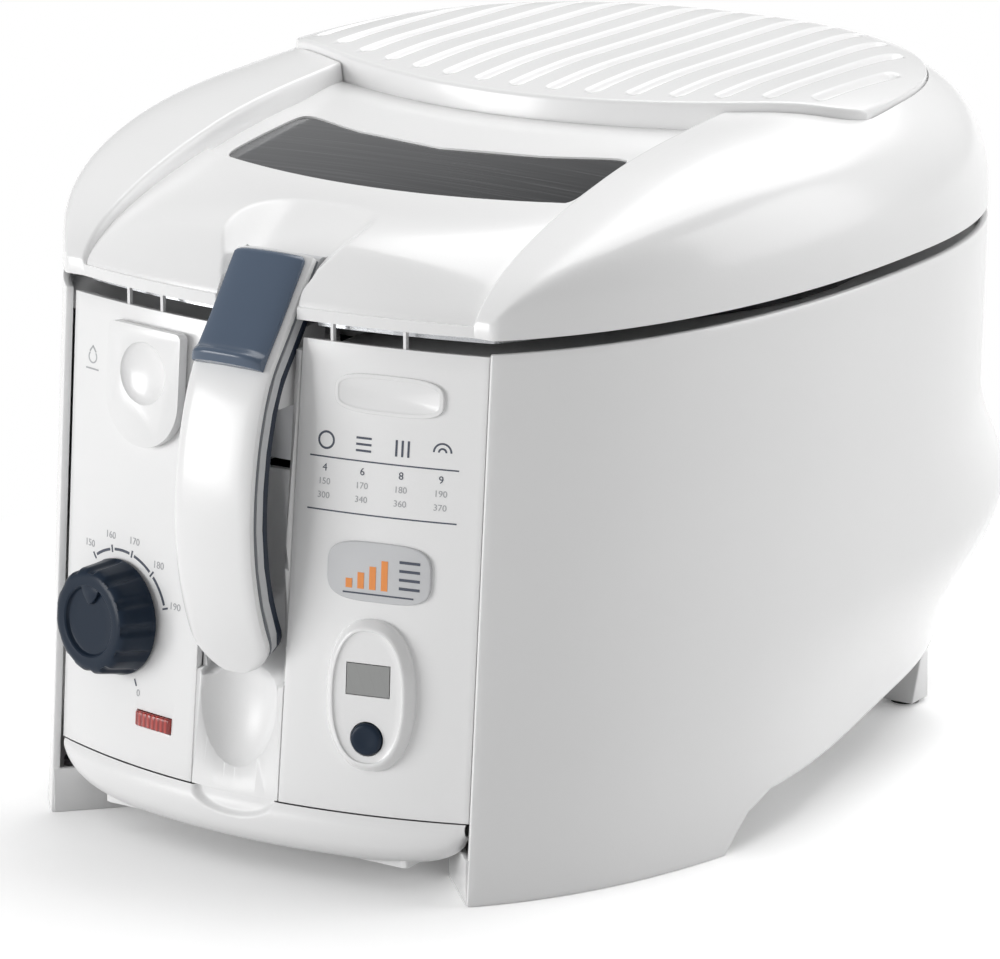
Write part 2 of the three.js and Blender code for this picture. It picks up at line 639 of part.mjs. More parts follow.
// The plan of what stands out behind the hull, with rounded corners.
function rearPlan(inset) {
  const [half, back, radius] = [TOWER_HALF_WIDTH - inset, REAR_Y - inset, LIP_CORNER - inset];
  return [[-half, PLAN_CENTRE_Y], [half, PLAN_CENTRE_Y],
    ...arc([half - radius, back - radius], radius, 0, Math.PI / 2, 4),
    ...arc([radius - half, back - radius], radius, Math.PI / 2, Math.PI, 4)];
}

function rearTower() {
  const shellBox = (inset) => throughZ(rearPlan(inset), TOWER_FOOT + inset, TOWER_TOP - inset);
  const behindHull = hullSolid(-FIT, [...HULL_LEVELS, HEIGHT], 0);
  let tower = shellBox(0).subtract(shellBox(WALL)).subtract(behindHull);
  for (const side of [-1, 1]) {
    const [x0, x1] = [HINGE_EAR_X - HINGE_EAR_WIDTH / 2,
      HINGE_EAR_X + HINGE_EAR_WIDTH / 2].map((x) => x * side)
      .sort((a, b) => a - b);
    const post = box([x0, x1], [HINGE_Y - 5, HINGE_Y + 5], [TOWER_TOP - WALL - 2, HINGE_Z]);
    tower = tower.add(post.subtract(behindHull)).add(rod('x', 5, x0, x1, [HINGE_Y, HINGE_Z], 16));
  }
  tower = tower.subtract(rod('x', HINGE_PIN_RADIUS + FIT, -WIDTH, WIDTH, [HINGE_Y, HINGE_Z], 12));
  tower = tower.subtract(rod('y', INLET_RADIUS + FIT, REAR_Y - 10, REAR_Y + 10, INLET_AT, 16));
  return piece('rear_tower', tower, white());
}

function cordInlet() {
  const profile = [[3.4, -WALL - 3], [INLET_RADIUS, -WALL - 3], [INLET_RADIUS, -FIT],
    [INLET_RADIUS - 0.6, 0], [3.4, 0]];
  const grommet = geometryOf(turned(profile, 16)).rotateX(-Math.PI / 2);
  return piece('cord_inlet', solid(grommet.translate(INLET_AT[0], REAR_Y, INLET_AT[1])), darkGrey());
}

function lidHingePin() {
  const end = HINGE_EAR_X + HINGE_EAR_WIDTH / 2;
  return piece('lid_hinge_pin', rod('x', HINGE_PIN_RADIUS, -end, end, [HINGE_Y, HINGE_Z], 20), steel());
}

// ---------------------------------------------------------------- front panels and handle bay

function panelBlank(from, to) {
  return slab(steps(from, to, 12), [PANEL_FOOT, (PANEL_FOOT + PANEL_TOP) / 2, PANEL_TOP],
    (x, z) => [x, panelY(x, z), z], (x, z) => [x, panelY(x, z) + PANEL_THICKNESS, z]);
}

function cutControl(body, at, cutter) {
  return body.subtract(placed(cutter, controlFrame(at)));
}

// A piece on the panel: one solid seats on its surface, and the other passes through it.
function onPanel(name, at, seated, through, material) {
  const frame = controlFrame(at);
  const body = placed(seated, frame).intersect(aheadOfPanels(-FIT)).add(placed(through, frame));
  return piece(name, body, material);
}

function doorOutline(grow) {
  const w = DOOR_HALF_WIDTH + grow;
  const top = DOOR_HEIGHT / 2 + grow;
  const centre = DOOR_HALF_WIDTH - DOOR_HEIGHT / 2;
  return [[w, top], [-w, top], ...arc([0, centre], w, Math.PI, 2 * Math.PI, 14)];
}

function leftPanel() {
  let panel = panelBlank(-PANEL_HALF_WIDTH, -BAY_HALF_WIDTH - PART_LINE / 2);
  panel = cutControl(panel, DOOR_AT, throughZ(doorOutline(POCKET_GROW), -20, 20));
  panel = cutControl(panel, KNOB_AT, rod('z', KNOB_SHAFT_RADIUS + RUNNING, -20, 20, [0, 0], 24));
  const [w, h] = LENS_SIZE.map((size) => size / 2 + FIT);
  panel = cutControl(panel, LENS_AT, box([-w, w], [-h, h], [-20, 20]));
  return piece('front_panel_left', panel, white());
}

function rightPanel() {
  let panel = panelBlank(BAY_HALF_WIDTH + PART_LINE / 2, PANEL_HALF_WIDTH);
  const hole = oval(TIMER_HALF_WIDTH - 1.6, TIMER_HALF_HEIGHT - 1.6, 2.3, 32);
  panel = cutControl(panel, TIMER_AT, throughZ(hole, -20, 20));
  return piece('front_panel_right', panel, white());
}

function handleBay() {
  const half = BAY_HALF_WIDTH - PART_LINE / 2;
  const block = slab(steps(-half, half, 8), [PANEL_FOOT, PANEL_TOP - 4],
    (x, z) => [x, panelY(x, z), z], (x, z) => [x, BAY_BACK_Y + WALL, z]);
  const hollow = throughX([[BAY_BACK_Y - WALL, PANEL_FOOT - 5], [BAY_BACK_Y - WALL, DISH_Z[1] - 2],
    [panelY(0, DISH_Z[0]) + 14, DISH_Z[0] - 14], [panelY(0, PANEL_FOOT) + WALL, DISH_Z[0] - 26],
    [panelY(0, PANEL_FOOT) + WALL, PANEL_FOOT - 5]], -half + WALL, half - WALL);
  const open = half - 1.8;
  const pocket = throughX([[FRONT_Y, DISH_Z[0] + 2], [panelY(0, DISH_Z[0]) + 4, DISH_Z[0] + 4],
    [BAY_BACK_Y, DISH_Z[1]], [BAY_BACK_Y, HEIGHT], [FRONT_Y, HEIGHT]], -open, open);
  const lead = throughX([[FRONT_Y - 20, DISH_Z[0] - 4], [FRONT_Y + 20, DISH_Z[0] + 6],
    [FRONT_Y + 20, HEIGHT], [FRONT_Y - 20, HEIGHT]], -half, half);
  const ahead = aheadOfPanels(PANEL_THICKNESS + FIT).intersect(lead);
  const dish = new THREE.SphereGeometry(1, 20, 12).scale(16, 15, 24);
  const dishAt = solid(dish.translate(0, panelY(0, DISH_Z[0]) - 6, DISH_Z[0]));
  const window = box([-RELEASE_HALF_WIDTH - RUNNING, RELEASE_HALF_WIDTH + RUNNING],
    [BAY_BACK_Y - 5, BAY_BACK_Y + 10], [RELEASE_Z[0] - 4, RELEASE_Z[1] + RUNNING]);
  const body = block.subtract(hollow).subtract(pocket).subtract(ahead).subtract(dishAt).subtract(window);
  return piece('handle_bay', body.add(springSeat()), white());
}

// A bridge behind the release button, which its spring bears on.
function springSeat() {
  const back = SPRING_Y + SPRING_LENGTH + FIT;
  const half = BAY_HALF_WIDTH - PART_LINE / 2;
  const levels = [RELEASE_Z[0] - 4, RELEASE_Z[1] - 12];
  return box([-half, half], [BAY_BACK_Y + WALL / 2, back + WALL], levels)
    .subtract(box([-HOOK_X[1] - RUNNING, HOOK_X[1] + RUNNING], [BAY_BACK_Y - 1, back],
      [levels[0] - 1, levels[1] + 1]));
}

// The lid release is a button with two hooks on its upper arms.
function releaseButton() {
  const [low, high] = RELEASE_Z;
  const face = box([-RELEASE_HALF_WIDTH, RELEASE_HALF_WIDTH], [BAY_BACK_Y - 1.4, SPRING_Y - FIT],
    [low, high]);
  const bridge = box([-RELEASE_HALF_WIDTH, RELEASE_HALF_WIDTH], [BAY_BACK_Y + 1, HOOK_Y + 1],
    [high - 6, high - 3])
    .add(box([-HOOK_X[1], HOOK_X[1]], [HOOK_Y, HOOK_Y + 3], [high - 6, high - 3]));
  const outline = [[HOOK_Y, high - 6], [HOOK_Y + 3, high - 6], [HOOK_Y + 3, HOOK_Z + 2.5],
    [HOOK_Y, HOOK_Z + 2.5],
    [HOOK_Y - HOOK_NOSE, HOOK_Z], [HOOK_Y, HOOK_Z]];
  const hooks = [throughX(outline, ...HOOK_X), throughX(outline, -HOOK_X[1], -HOOK_X[0])];
  return piece('lid_release_button', allOf([face, bridge, ...hooks]), paleGrey());
}

function releaseSpring() {
  const z = (RELEASE_Z[0] + RELEASE_Z[1]) / 2 - 6;
  return piece('release_spring', coilSpring(4, 0.6, 4, SPRING_LENGTH, [0, SPRING_Y, z]), steel());
}

// A compression spring along Y with closed round ends.
function coilSpring(radius, wire, turns, length, [x, y, z]) {
  class Helix extends THREE.Curve {
    getPoint(t) {
      const angle = t * turns * 2 * Math.PI;
      return new THREE.Vector3(x + radius * Math.cos(angle), y + wire + t * (length - 2 * wire),
        z + radius * Math.sin(angle));
    }
  }
  const section = new THREE.Shape(arc([0, 0], wire, 0, 2 * Math.PI, 5).slice(0, -1)
    .map(([a, b]) => new THREE.Vector2(a, b)));
  return solid(new THREE.ExtrudeGeometry(section, { steps: turns * 8, extrudePath: new Helix() }));
}

// ---------------------------------------------------------------- hose compartment

function hosePocket() {
  const mouth = throughZ(doorOutline(POCKET_GROW + WALL), -POCKET_DEPTH, 0);
  const room = throughZ(doorOutline(POCKET_GROW), -POCKET_DEPTH + WALL, 1);
  const hosePass = rod('y', HOSE_RADIUS + RUNNING, -DOOR_HEIGHT, 0, [0, HOSE_DEPTH], 20);
  const pocket = placed(mouth.subtract(room).subtract(hosePass), controlFrame(DOOR_AT));
  return piece('hose_pocket', pocket.subtract(aheadOfPanels(PANEL_THICKNESS + FIT)), white());
}

function drainDoor() {
  let door = throughZ(doorOutline(0), -2, DOOR_PROUD - 0.8)
    .add(throughZ(doorOutline(-0.8), DOOR_PROUD - 1, DOOR_PROUD));
  const finger = new THREE.SphereGeometry(1, 20, 12).scale(10.4, 10.4, 3.2)
    .translate(0, FINGER_UP, DOOR_PROUD + 0.6);
  door = door.subtract(solid(finger));
  const rim = throughZ(doorOutline(POCKET_GROW - FIT * 2), -3, 0.6)
    .subtract(throughZ(doorOutline(POCKET_GROW - FIT * 2 - 1.6), -4, 0.5))
    .subtract(box([-20, 20], [-30, 4], [-5, 0.5]));
  return onPanel('drain_door', DOOR_AT, door, rim, white());
}

function drainHose() {
  const frame = controlFrame(DOOR_AT);
  const inPocket = (up) => new THREE.Vector3(0, up, HOSE_DEPTH).applyMatrix4(frame);
  const spout = new THREE.Vector3(...SPOUT_AT);
  const start = spout.clone().add(new THREE.Vector3(0, -SPOUT_LENGTH + 6, 0));
  const ahead = (run) => start.clone().add(new THREE.Vector3(0, -run, 0));
  const route = new THREE.CatmullRomCurve3([start, ahead(5), ahead(10),
    new THREE.Vector3(HOSE_X - 0.5, start.y - 30, start.z + 13),
    new THREE.Vector3(HOSE_X + 0.5, start.y - 43, start.z + 33),
    inPocket(-26), inPocket(-8), inPocket(HOSE_TOP)]);
  const ring = (radius) => arc([0, 0], radius, 0, 2 * Math.PI, 8).slice(0, -1)
    .map(([a, b]) => new THREE.Vector2(a, b));
  const outer = new THREE.ExtrudeGeometry(new THREE.Shape(ring(HOSE_RADIUS)),
    { steps: 15, extrudePath: route });
  const bore = new THREE.ExtrudeGeometry(new THREE.Shape(ring((HOSE_BORE + FIT) / Math.cos(Math.PI / 8))),
    { steps: 15, extrudePath: route });
  return piece('drain_hose', solid(outer).subtract(solid(bore)), rubber());
}

function hosePlug() {
  const profile = [[0, -4], [HOSE_BORE - RUNNING, -4], [HOSE_BORE - RUNNING, 0.3], [HOSE_RADIUS, 0.3],
    [HOSE_RADIUS, 3.4], [0, 3.4]];
  const plug = geometryOf(turned(profile, 20)).rotateX(-Math.PI / 2);
  return piece('hose_plug', solid(plug.translate(0, HOSE_TOP, HOSE_DEPTH)), darkGrey());
}

// ---------------------------------------------------------------- controls

function knob() {
  const profile = [[0, 0.6], [KNOB_RADIUS, 0.6], [KNOB_RADIUS, 2.4],
    [KNOB_FACE_RADIUS + 1.6, KNOB_HEIGHT - 2.6],
    [KNOB_FACE_RADIUS, KNOB_HEIGHT - 0.6], [KNOB_FACE_RADIUS - 1.2, KNOB_HEIGHT], [0, KNOB_HEIGHT]];
  let body = turned(profile, 36);
  for (const angle of steps(0, 2 * Math.PI, KNOB_FLUTES).slice(0, -1)) {
    const foot = new THREE.Vector3(Math.cos(angle), Math.sin(angle), 0);
    const flute = new THREE.CylinderGeometry(1.3, 1.3, KNOB_HEIGHT, 5).rotateX(Math.PI / 2);
    flute.rotateY(-Math.atan((KNOB_RADIUS - KNOB_FACE_RADIUS) / KNOB_HEIGHT)).rotateZ(angle);
    flute.translate(foot.x * (KNOB_RADIUS - 0.5), foot.y * (KNOB_RADIUS - 0.5), KNOB_HEIGHT / 2 + 0.6);
    body = body.subtract(solid(flute));
  }
  const recess = rod('z', 10, KNOB_HEIGHT - 1.6, KNOB_HEIGHT + 1, [0, 0], 28);
  const pointer = throughZ([[-3.4, 10.5], [0, 2.5], [3.4, 10.5]], KNOB_HEIGHT - 2, KNOB_HEIGHT + 2);
  body = body.subtract(recess.subtract(pointer));
  return piece('temperature_knob', body.subtract(knobShaftSolid(FIT)), navy());
}

// The shaft has a flat on one side.
function knobShaftSolid(grow) {
  const shaft = rod('z', KNOB_SHAFT_RADIUS + grow, -8 - grow, KNOB_HEIGHT - 6 + grow, [0, 0], 24);
  const flat = box([-5, 5], [KNOB_SHAFT_RADIUS - 1 + grow, 6], [1, KNOB_HEIGHT + 2]);
  return shaft.subtract(flat);
}

function thermostat() {
  const body = rod('z', 15, -20, -PANEL_THICKNESS - 0.6, [0, 0], 20);
  const bore = rod('z', KNOB_SHAFT_RADIUS + RUNNING, -8 - RUNNING, 0, [0, 0], 24);
  return piece('thermostat', body.subtract(bore), darkGrey());
}

const timerRing = (inset, z) => oval(TIMER_HALF_WIDTH - inset, TIMER_HALF_HEIGHT - inset, 2.3, 24)
  .map(([x, y]) => new THREE.Vector3(x, y, z));

function timerHousing() {
  const flange = loft([timerRing(0, -2), timerRing(0, 1.4), timerRing(1.6, TIMER_PROUD - 0.4),
    timerRing(2.4, TIMER_PROUD)]);
  const face = loft([timerRing(3.2, TIMER_PROUD - 0.7), timerRing(3, TIMER_PROUD + 1)]);
  const plug = loft([timerRing(2.2, -TIMER_BEHIND), timerRing(2.2, 1)]);
  const [w, h] = DISPLAY_SIZE.map((size) => size / 2);
  const pane = box([-w, w], [DISPLAY_UP - h, DISPLAY_UP + h], [TIMER_PROUD - 2.6, TIMER_PROUD + 2]);
  const bore = rod('z', BUTTON_RADIUS + 0.4, -TIMER_BEHIND + 2, TIMER_PROUD + 2, [0, -BUTTON_DOWN], 20);
  const cell = rod('z', CELL_RADIUS + FIT, -TIMER_BEHIND - 1, -TIMER_BEHIND + 4, [0, 4], 24);
  const notch = box([-2.2, 2.2], [-TIMER_HALF_HEIGHT - 1, -TIMER_HALF_HEIGHT + 1.6], [FIT - 1, 1.6]);
  const cut = allOf([face, pane, bore, cell, notch]);
  return onPanel('timer_housing', TIMER_AT, flange.subtract(cut), plug.subtract(cut), white());
}

function timerDisplay() {
  const [w, h] = DISPLAY_SIZE.map((size) => size / 2 - FIT);
  const z = TIMER_PROUD - 2.6 + FIT;
  return piece('timer_display', box([-w, w], [DISPLAY_UP - h, DISPLAY_UP + h], [z, z + 1.6]), paleGrey());
}

function timerButton() {
  const profile = [[0, -3], [BUTTON_RADIUS, -3], [BUTTON_RADIUS, TIMER_PROUD + 0.2],
    [BUTTON_RADIUS - 0.8, TIMER_PROUD + 1], [0, TIMER_PROUD + 1.3]];
  const body = geometryOf(turned(profile, 20)).translate(0, -BUTTON_DOWN, 0);
  return piece('timer_button', solid(body), navy());
}

function coinCell() {
  const z = -TIMER_BEHIND + 0.4;
  return piece('coin_cell', rod('z', CELL_RADIUS, z, z + 3.2, [0, 4], 24), steel());
}

function indicatorLens() {
  const [w, h] = LENS_SIZE.map((size) => size / 2);
  const face = box([-w, w], [-h, h], [-PANEL_THICKNESS - 1, 0.4]);
  const clip = box([-w - 2, w + 2], [-h - 1.6, h + 1.6], [-PANEL_THICKNESS - 3, -PANEL_THICKNESS - 0.8]);
  return piece('indicator_lens', face.add(clip), signalRed());
}

// ---------------------------------------------------------------- bowl and drive

// Up along the axis of the basket, from the middle of the bowl's floor.
const driveFrame = new THREE.Matrix4().makeRotationX(AXIS_LEAN).setPosition(0, BOWL_Y, BOWL_FLOOR);
const floorZ = (y) => BOWL_FLOOR + Math.tan(AXIS_LEAN) * (y - BOWL_Y);

function bowlBlank(inset, top) {
  const radius = BOWL_RADIUS - inset;
  const corner = BOWL_CORNER - inset;
  const ring = (r, heightAt) => arc([0, BOWL_Y], r, 0, 2 * Math.PI, BOWL_COUNT).slice(0, -1)
    .map(([x, y]) => new THREE.Vector3(x, y, heightAt(y)));
  const rings = steps(0, Math.PI / 2, 3).map((a) => ring(radius - corner + corner * Math.sin(a),
    (y) => floorZ(y) - BOWL_WALL + inset + corner * (1 - Math.cos(a))));
  return loft([...rings, ring(radius, () => top)]);
}

function bowl() {
  const rim = DECK_TOP + FIT;
  const flange = turned([[BOWL_RADIUS - BOWL_WALL, rim], [BOWL_RADIUS + BOWL_FLANGE, rim],
    [BOWL_RADIUS + BOWL_FLANGE, rim + BOWL_WALL], [BOWL_RADIUS - BOWL_WALL, rim + BOWL_WALL]], BOWL_COUNT);
  const [x, y, z] = SPOUT_AT;
  const nozzle = rod('y', HOSE_BORE, y - SPOUT_LENGTH, y, [x, z], 10)
    .add(rod('y', HOSE_BORE + 2, y - 13, y, [x, z], 10));
  const body = bowlBlank(0, rim + BOWL_WALL)
    .add(placed(flange, new THREE.Matrix4().setPosition(0, BOWL_Y, 0)))
    .add(nozzle).subtract(bowlBlank(BOWL_WALL, rim + 10));
  const drain = rod('y', HOSE_BORE - 1, y - SPOUT_LENGTH - 1, y + 2, [x, z], 8);
  const shaftHole = placed(rod('z', SPINDLE_RADIUS + RUNNING, -8, 8, [0, 0], 16), driveFrame);
  return piece('bowl', body.subtract(drain).subtract(shaftHole), coating());
}

// Pieces made about the drive axis are built upright and placed together.
function onDrive(name, body, material) {
  const made = piece(name, body, material);
  made.applyMatrix4(driveFrame);
  return made;
}

function heatingElement() {
  const top = -BOWL_WALL - FIT;
  const ring = (r) => turned([[r - 4, top - 6], [r + 4, top - 6], [r + 4, top], [r - 4, top]], 20);
  const tie = box([-HEATER_RADII[1], HEATER_RADII[1]], [-4, 4], [top - 3, top]);
  const clear = rod('z', HEATER_RADII[0] - 3, top - 8, top + 1, [0, 0], 20);
  return onDrive('heating_element', ring(HEATER_RADII[0]).add(ring(HEATER_RADII[1]))
    .add(tie.subtract(clear)), steel());
}

function gearMotor() {
  const top = -BOWL_WALL - FIT;
  const profile = [[0, top - MOTOR_HEIGHT], [MOTOR_RADIUS, top - MOTOR_HEIGHT], [MOTOR_RADIUS, top],
    [0, top]];
  const lug = box([-MOTOR_RADIUS - 8, MOTOR_RADIUS + 8], [-6, 6], [top - 3, top]);
  const hole = rod('z', SPINDLE_RADIUS + RUNNING, top - MOTOR_HEIGHT - 1, top + 1, [0, 0], 16);
  return onDrive('gear_motor', turned(profile, 28).add(lug).subtract(hole), darkGrey());
}

function driveSpindle() {
  const profile = [[0, -MOTOR_HEIGHT], [SPINDLE_RADIUS, -MOTOR_HEIGHT], [SPINDLE_RADIUS, 0],
    [SPINDLE_TIP_RADIUS, SPINDLE_HEIGHT - 0.8], [SPINDLE_TIP_RADIUS - 0.8, SPINDLE_HEIGHT], [0,
      SPINDLE_HEIGHT]];
  return onDrive('drive_spindle', turned(profile, 6), steel());
}

// ---------------------------------------------------------------- basket and lift

function hoop(radius, z) {
  const w = WIRE;
  return turned([[radius - w, z - w], [radius + w, z - w], [radius + w, z + w], [radius - w, z + w]],
    BASKET_COUNT);
}

// One wire of the basket, from the hub across the bottom and up the side.
function rib(angle) {
  const t = WIRE * 0.7;
  const foot = BASKET_CLEARANCE + WIRE;
  const top = BASKET_CLEARANCE + BASKET_HEIGHT - WIRE;
  const side = BASKET_RADIUS - WIRE;
  const outline = [[HUB_RADIUS - 1, foot - t], [side - 7, foot - t], [side + t, foot + 7], [side + t, top],
    [side - t, top], [side - t, foot + 8], [side - 7.5, foot + t], [HUB_RADIUS - 1, foot + t]];
  return placed(throughX(outline, -t, t), new THREE.Matrix4().makeRotationZ(angle));
}

function basket() {
  const foot = BASKET_CLEARANCE + WIRE;
  const low = foot + BASKET_HEIGHT * 0.2;
  const hoops = [hoop(BASKET_RADIUS - 8, foot), hoop(BASKET_RADIUS * 0.5, foot),
    ...steps(low + 6, BASKET_CLEARANCE + BASKET_HEIGHT - WIRE, 1)
      .map((z) => hoop(BASKET_RADIUS - WIRE, z))];
  const ribs = steps(0, 2 * Math.PI, BASKET_WIRES).slice(0, -1).map(rib);
  const hubProfile = [[0, HUB_FOOT], [HUB_RADIUS, HUB_FOOT], [HUB_RADIUS, BASKET_CLEARANCE - 1.2],
    [HUB_RADIUS + 4.5, BASKET_CLEARANCE - 1.2], [HUB_RADIUS + 4.5, foot + WIRE], [HUB_RADIUS - 2,
      SPINDLE_HEIGHT + 4],
    [0, SPINDLE_HEIGHT + 5]];
  const socket = turned([[0, HUB_FOOT - 1], [SPINDLE_RADIUS + RUNNING, HUB_FOOT - 1],
    [SPINDLE_RADIUS + RUNNING, HUB_FOOT],
    [SPINDLE_TIP_RADIUS + 1.6, SPINDLE_HEIGHT + RUNNING], [0, SPINDLE_HEIGHT + RUNNING]], 12);
  const body = allOf([...hoops, ...ribs, turned(hubProfile, 20)]).subtract(socket);
  return onDrive('basket', body, steel());
}

function basketCarrier() {
  const low = BASKET_CLEARANCE - 3.2;
  const ring = turned([[HUB_RADIUS + RUNNING, low], [HUB_RADIUS + 6, low],
    [HUB_RADIUS + 6, low + CARRIER_THICKNESS],
    [HUB_RADIUS + RUNNING, low + CARRIER_THICKNESS]], 20);
  const reach = (BOWL_Y - HANGER_Y - 3) / Math.cos(AXIS_LEAN);
  const arm = box([-CARRIER_HALF_WIDTH, CARRIER_HALF_WIDTH], [-reach, -HUB_RADIUS - 2],
    [low, low + CARRIER_THICKNESS]);
  const y = HANGER_Y + HANGER_THICKNESS + RUNNING;
  const foot = floorZ(y) + low + 0.5;
  const upright = box([-CARRIER_HALF_WIDTH, CARRIER_HALF_WIDTH], [y, y + CARRIER_THICKNESS],
    [foot, CARRIER_TOP]);
  let body = placed(ring.add(arm), driveFrame).add(upright);
  for (const z of [CARRIER_TOP - 8, CARRIER_TOP - 44]) {
    for (const side of [-1, 1]) {
      const xs = [side * (CARRIER_HALF_WIDTH - 1),
        side * (CARRIER_HALF_WIDTH + RUNNING + CARRIER_CHEEK)].sort((a, b) => a - b);
      const cheek = [side * (CARRIER_HALF_WIDTH + RUNNING),
        side * (CARRIER_HALF_WIDTH + RUNNING + CARRIER_CHEEK)].sort((a, b) => a - b);
      body = body.add(box(xs, [y, y + CARRIER_THICKNESS], [z, z + 6]))
        .add(box(cheek, [HANGER_Y, y + 1], [z, z + 6]));
    }
  }
  return piece('basket_carrier', body, steel());
}

// Hooks over the bowl's rim and guides the carrier.
function carrierHanger() {
  const top = DECK_TOP + FIT + BOWL_WALL + FIT;
  const outside = BOWL_Y - BOWL_RADIUS - BOWL_FLANGE - FIT;
  const t = HANGER_THICKNESS;
  const outline = [[HANGER_Y, HANGER_FOOT], [HANGER_Y + t, HANGER_FOOT], [HANGER_Y + t, top + t],
    [outside - t, top + t],
    [outside - t, DECK_TOP + FIT], [outside, DECK_TOP + FIT], [outside, top], [HANGER_Y, top]];
  return piece('carrier_hanger', throughX(outline, -CARRIER_HALF_WIDTH, CARRIER_HALF_WIDTH), steel());
}

// ---------------------------------------------------------------- lid

// Height of the domed surface over the base, at a distance in from its outline.
function shoulder(inwards) {
  const t = Math.min(Math.max(inwards, 0) / LID_SHOULDER, 1);
  const rise = HEIGHT - COVER_PROUD - LID_BASE;
  return rise * (1 - (1 - t) ** LID_SHOULDER_POWER) ** (1 / LID_SHOULDER_POWER);
}

// A quarter superellipse that starts upright.
function quarter(t, power) {
  const clamped = THREE.MathUtils.clamp(t, 0, 1);
  return (1 - (1 - clamped) ** power) ** (1 / power);
}

const frontSag = (x) => LID_FRONT_SAG * (x / FIN_X) ** 2;
const lidFrontY = (x, z) => finY(z) - LID_FRONT_SAG + 0.6 + frontSag(x);
const railHeight = (y) => RAMP_FOOT_Z - LID_BASE + (HEIGHT - COVER_PROUD - RAMP_FOOT_Z)
  * quarter((y - finY(LID_BASE)) / (RAIL_HEAD_Y - finY(LID_BASE)), RAIL_POWER);
const rampZ = (v) => mix(RAMP_FOOT_Z, RAMP_HEAD_Z,
  quarter((v - lidFrontY(0, LID_BASE) - 1) / (RAMP_HEAD_Y - lidFrontY(0, LID_BASE) - 1), RAMP_POWER));

// The domed blank of the lid. A positive offset goes into the material.
function dome(offset, foot, count = PLAN_COUNT) {
  const ring = (inset, heightAt) => steps(-Math.PI / 2, 1.5 * Math.PI, count).slice(0, -1).map((t) => {
    const grow = offset + inset;
    const p = planPoint(t, PLAN_CENTRE_Y, HALF_WIDTH - grow, PLAN_FRONT - grow, PLAN_REAR - grow,
      REAR_SQUARENESS);
    p.z = heightAt(p.y);
    return p;
  });
  const rings = LID_INSETS.map((inset) => ring(inset, (y) => {
    const [a, b, top] = [Math.max(shoulder(inset), 0.4), railHeight(y - offset),
      HEIGHT - COVER_PROUD - LID_BASE];
    return LID_BASE - offset + (a ** -6 + b ** -6 - top ** -6) ** (-1 / 6);
  }));
  return loft([ring(0, () => foot), ...rings], strips(count));
}

// What is taken off above the slope between the rails.
function aboveRamp(offset) {
  const half = RAMP_HALF_WIDTH + offset;
  const xs = steps(-half, half, 12);
  const first = lidFrontY(0, LID_BASE) - 6;
  const vs = [first, ...[0, 0.004, 0.02, 0.06, 0.13, 0.25, 0.42, 0.62, 0.82,
    1].map((t) => mix(first + 7, RAMP_HEAD_Y, t)), RAIL_HEAD_Y + 10];
  return slab(xs, vs, (x, v) => [x, v + frontSag(x), HEIGHT + 20],
    (x, v) => [x, v + frontSag(x), rampZ(v - offset) - offset]);
}

function aheadOfLid(offset) {
  return slab(steps(-HALF_WIDTH, HALF_WIDTH, 18), [LID_BASE - 20, HEIGHT + 20],
    (x, z) => [x, FRONT_Y - WIDTH, z], (x, z) => [x, lidFrontY(x, z) + offset, z]);
}

function coverOutline(inset) {
  const half = COVER_HALF_WIDTH - inset;
  const front = steps(-half, half, 10).map((x) => [x,
    COVER_FRONT_Y + inset + COVER_FRONT_SAG * (x / COVER_HALF_WIDTH) ** 2]);
  const grow = COVER_INSET + inset;
  const rear = steps(0, Math.PI, 28).map((t) => planPoint(t, PLAN_CENTRE_Y, HALF_WIDTH - grow, PLAN_FRONT,
    PLAN_REAR - grow, REAR_SQUARENESS))
    .map((p) => [p.x, p.y]).filter(([x, y]) => y > front.at(-1)[1] + 3 || Math.abs(x) < half - 2);
  return [...front, ...rear];
}

// The scoop in front of the handle, a round-ended trough that widens upwards.
function scoop(offset) {
  const ring = (k) => {
    const w = mix(...SCOOP_HALF_WIDTHS, k) + offset;
    const centreY = mix(...SCOOP_ENDS_Y, k) - mix(...SCOOP_HALF_WIDTHS, k);
    const end = arc([0, centreY], w, 0, Math.PI, 12);
    return [[w, FRONT_Y - 20], ...end, [-w, FRONT_Y - 20]]
      .map(([x, y]) => new THREE.Vector3(x, y, mix(...SCOOP_Z, k) - offset));
  };
  return loft([ring(0), ring(3)]);
}

// Room for the head of the handle to turn in.
function headRoom(offset) {
  const half = HANDLE_HALF_WIDTH + HEAD_CLEARANCE + offset;
  const [y, z] = HANDLE_PIVOT;
  const slot = box([-half, half], [FRONT_Y - 20, SLOT_REAR_Y + offset], [LID_BASE - 20, z + offset]);
  return rod('x', HANDLE_HEAD_RADIUS + RUNNING + offset, -half, half, [y, z], 24).add(slot);
}

function rearLip(inset) {
  const [y, z] = [REAR_Y - inset, LIP_TOP - inset];
  const outline = [[PLAN_CENTRE_Y, LIP_FOOT - (inset ? 5 : 0)], [y, LIP_FOOT - (inset ? 5 : 0)],
    [y, z - 7], [y - 2, z - 2.5],
    [y - 7, z], [PLAN_CENTRE_Y, z]];
  return throughX(outline, -TOWER_HALF_WIDTH, TOWER_HALF_WIDTH)
    .intersect(throughZ(rearPlan(inset), 0, HEIGHT));
}

function lidBlank(offset, foot) {
  const recess = throughZ(coverOutline(-offset), COVER_FLOOR_Z - offset, HEIGHT + 20);
  const lip = rearLip(offset).subtract(throughX([[-WIDTH, 0], [PLAN_CENTRE_Y + 60, 0],
    [PLAN_CENTRE_Y + 60, HEIGHT], [-WIDTH, HEIGHT]], -WIDTH, WIDTH));
  return dome(offset, foot, offset ? INNER_COUNT : PLAN_COUNT).subtract(aboveRamp(offset)).add(lip)
    .subtract(aheadOfLid(offset))
    .subtract(recess).subtract(scoop(offset)).subtract(headRoom(offset));
}

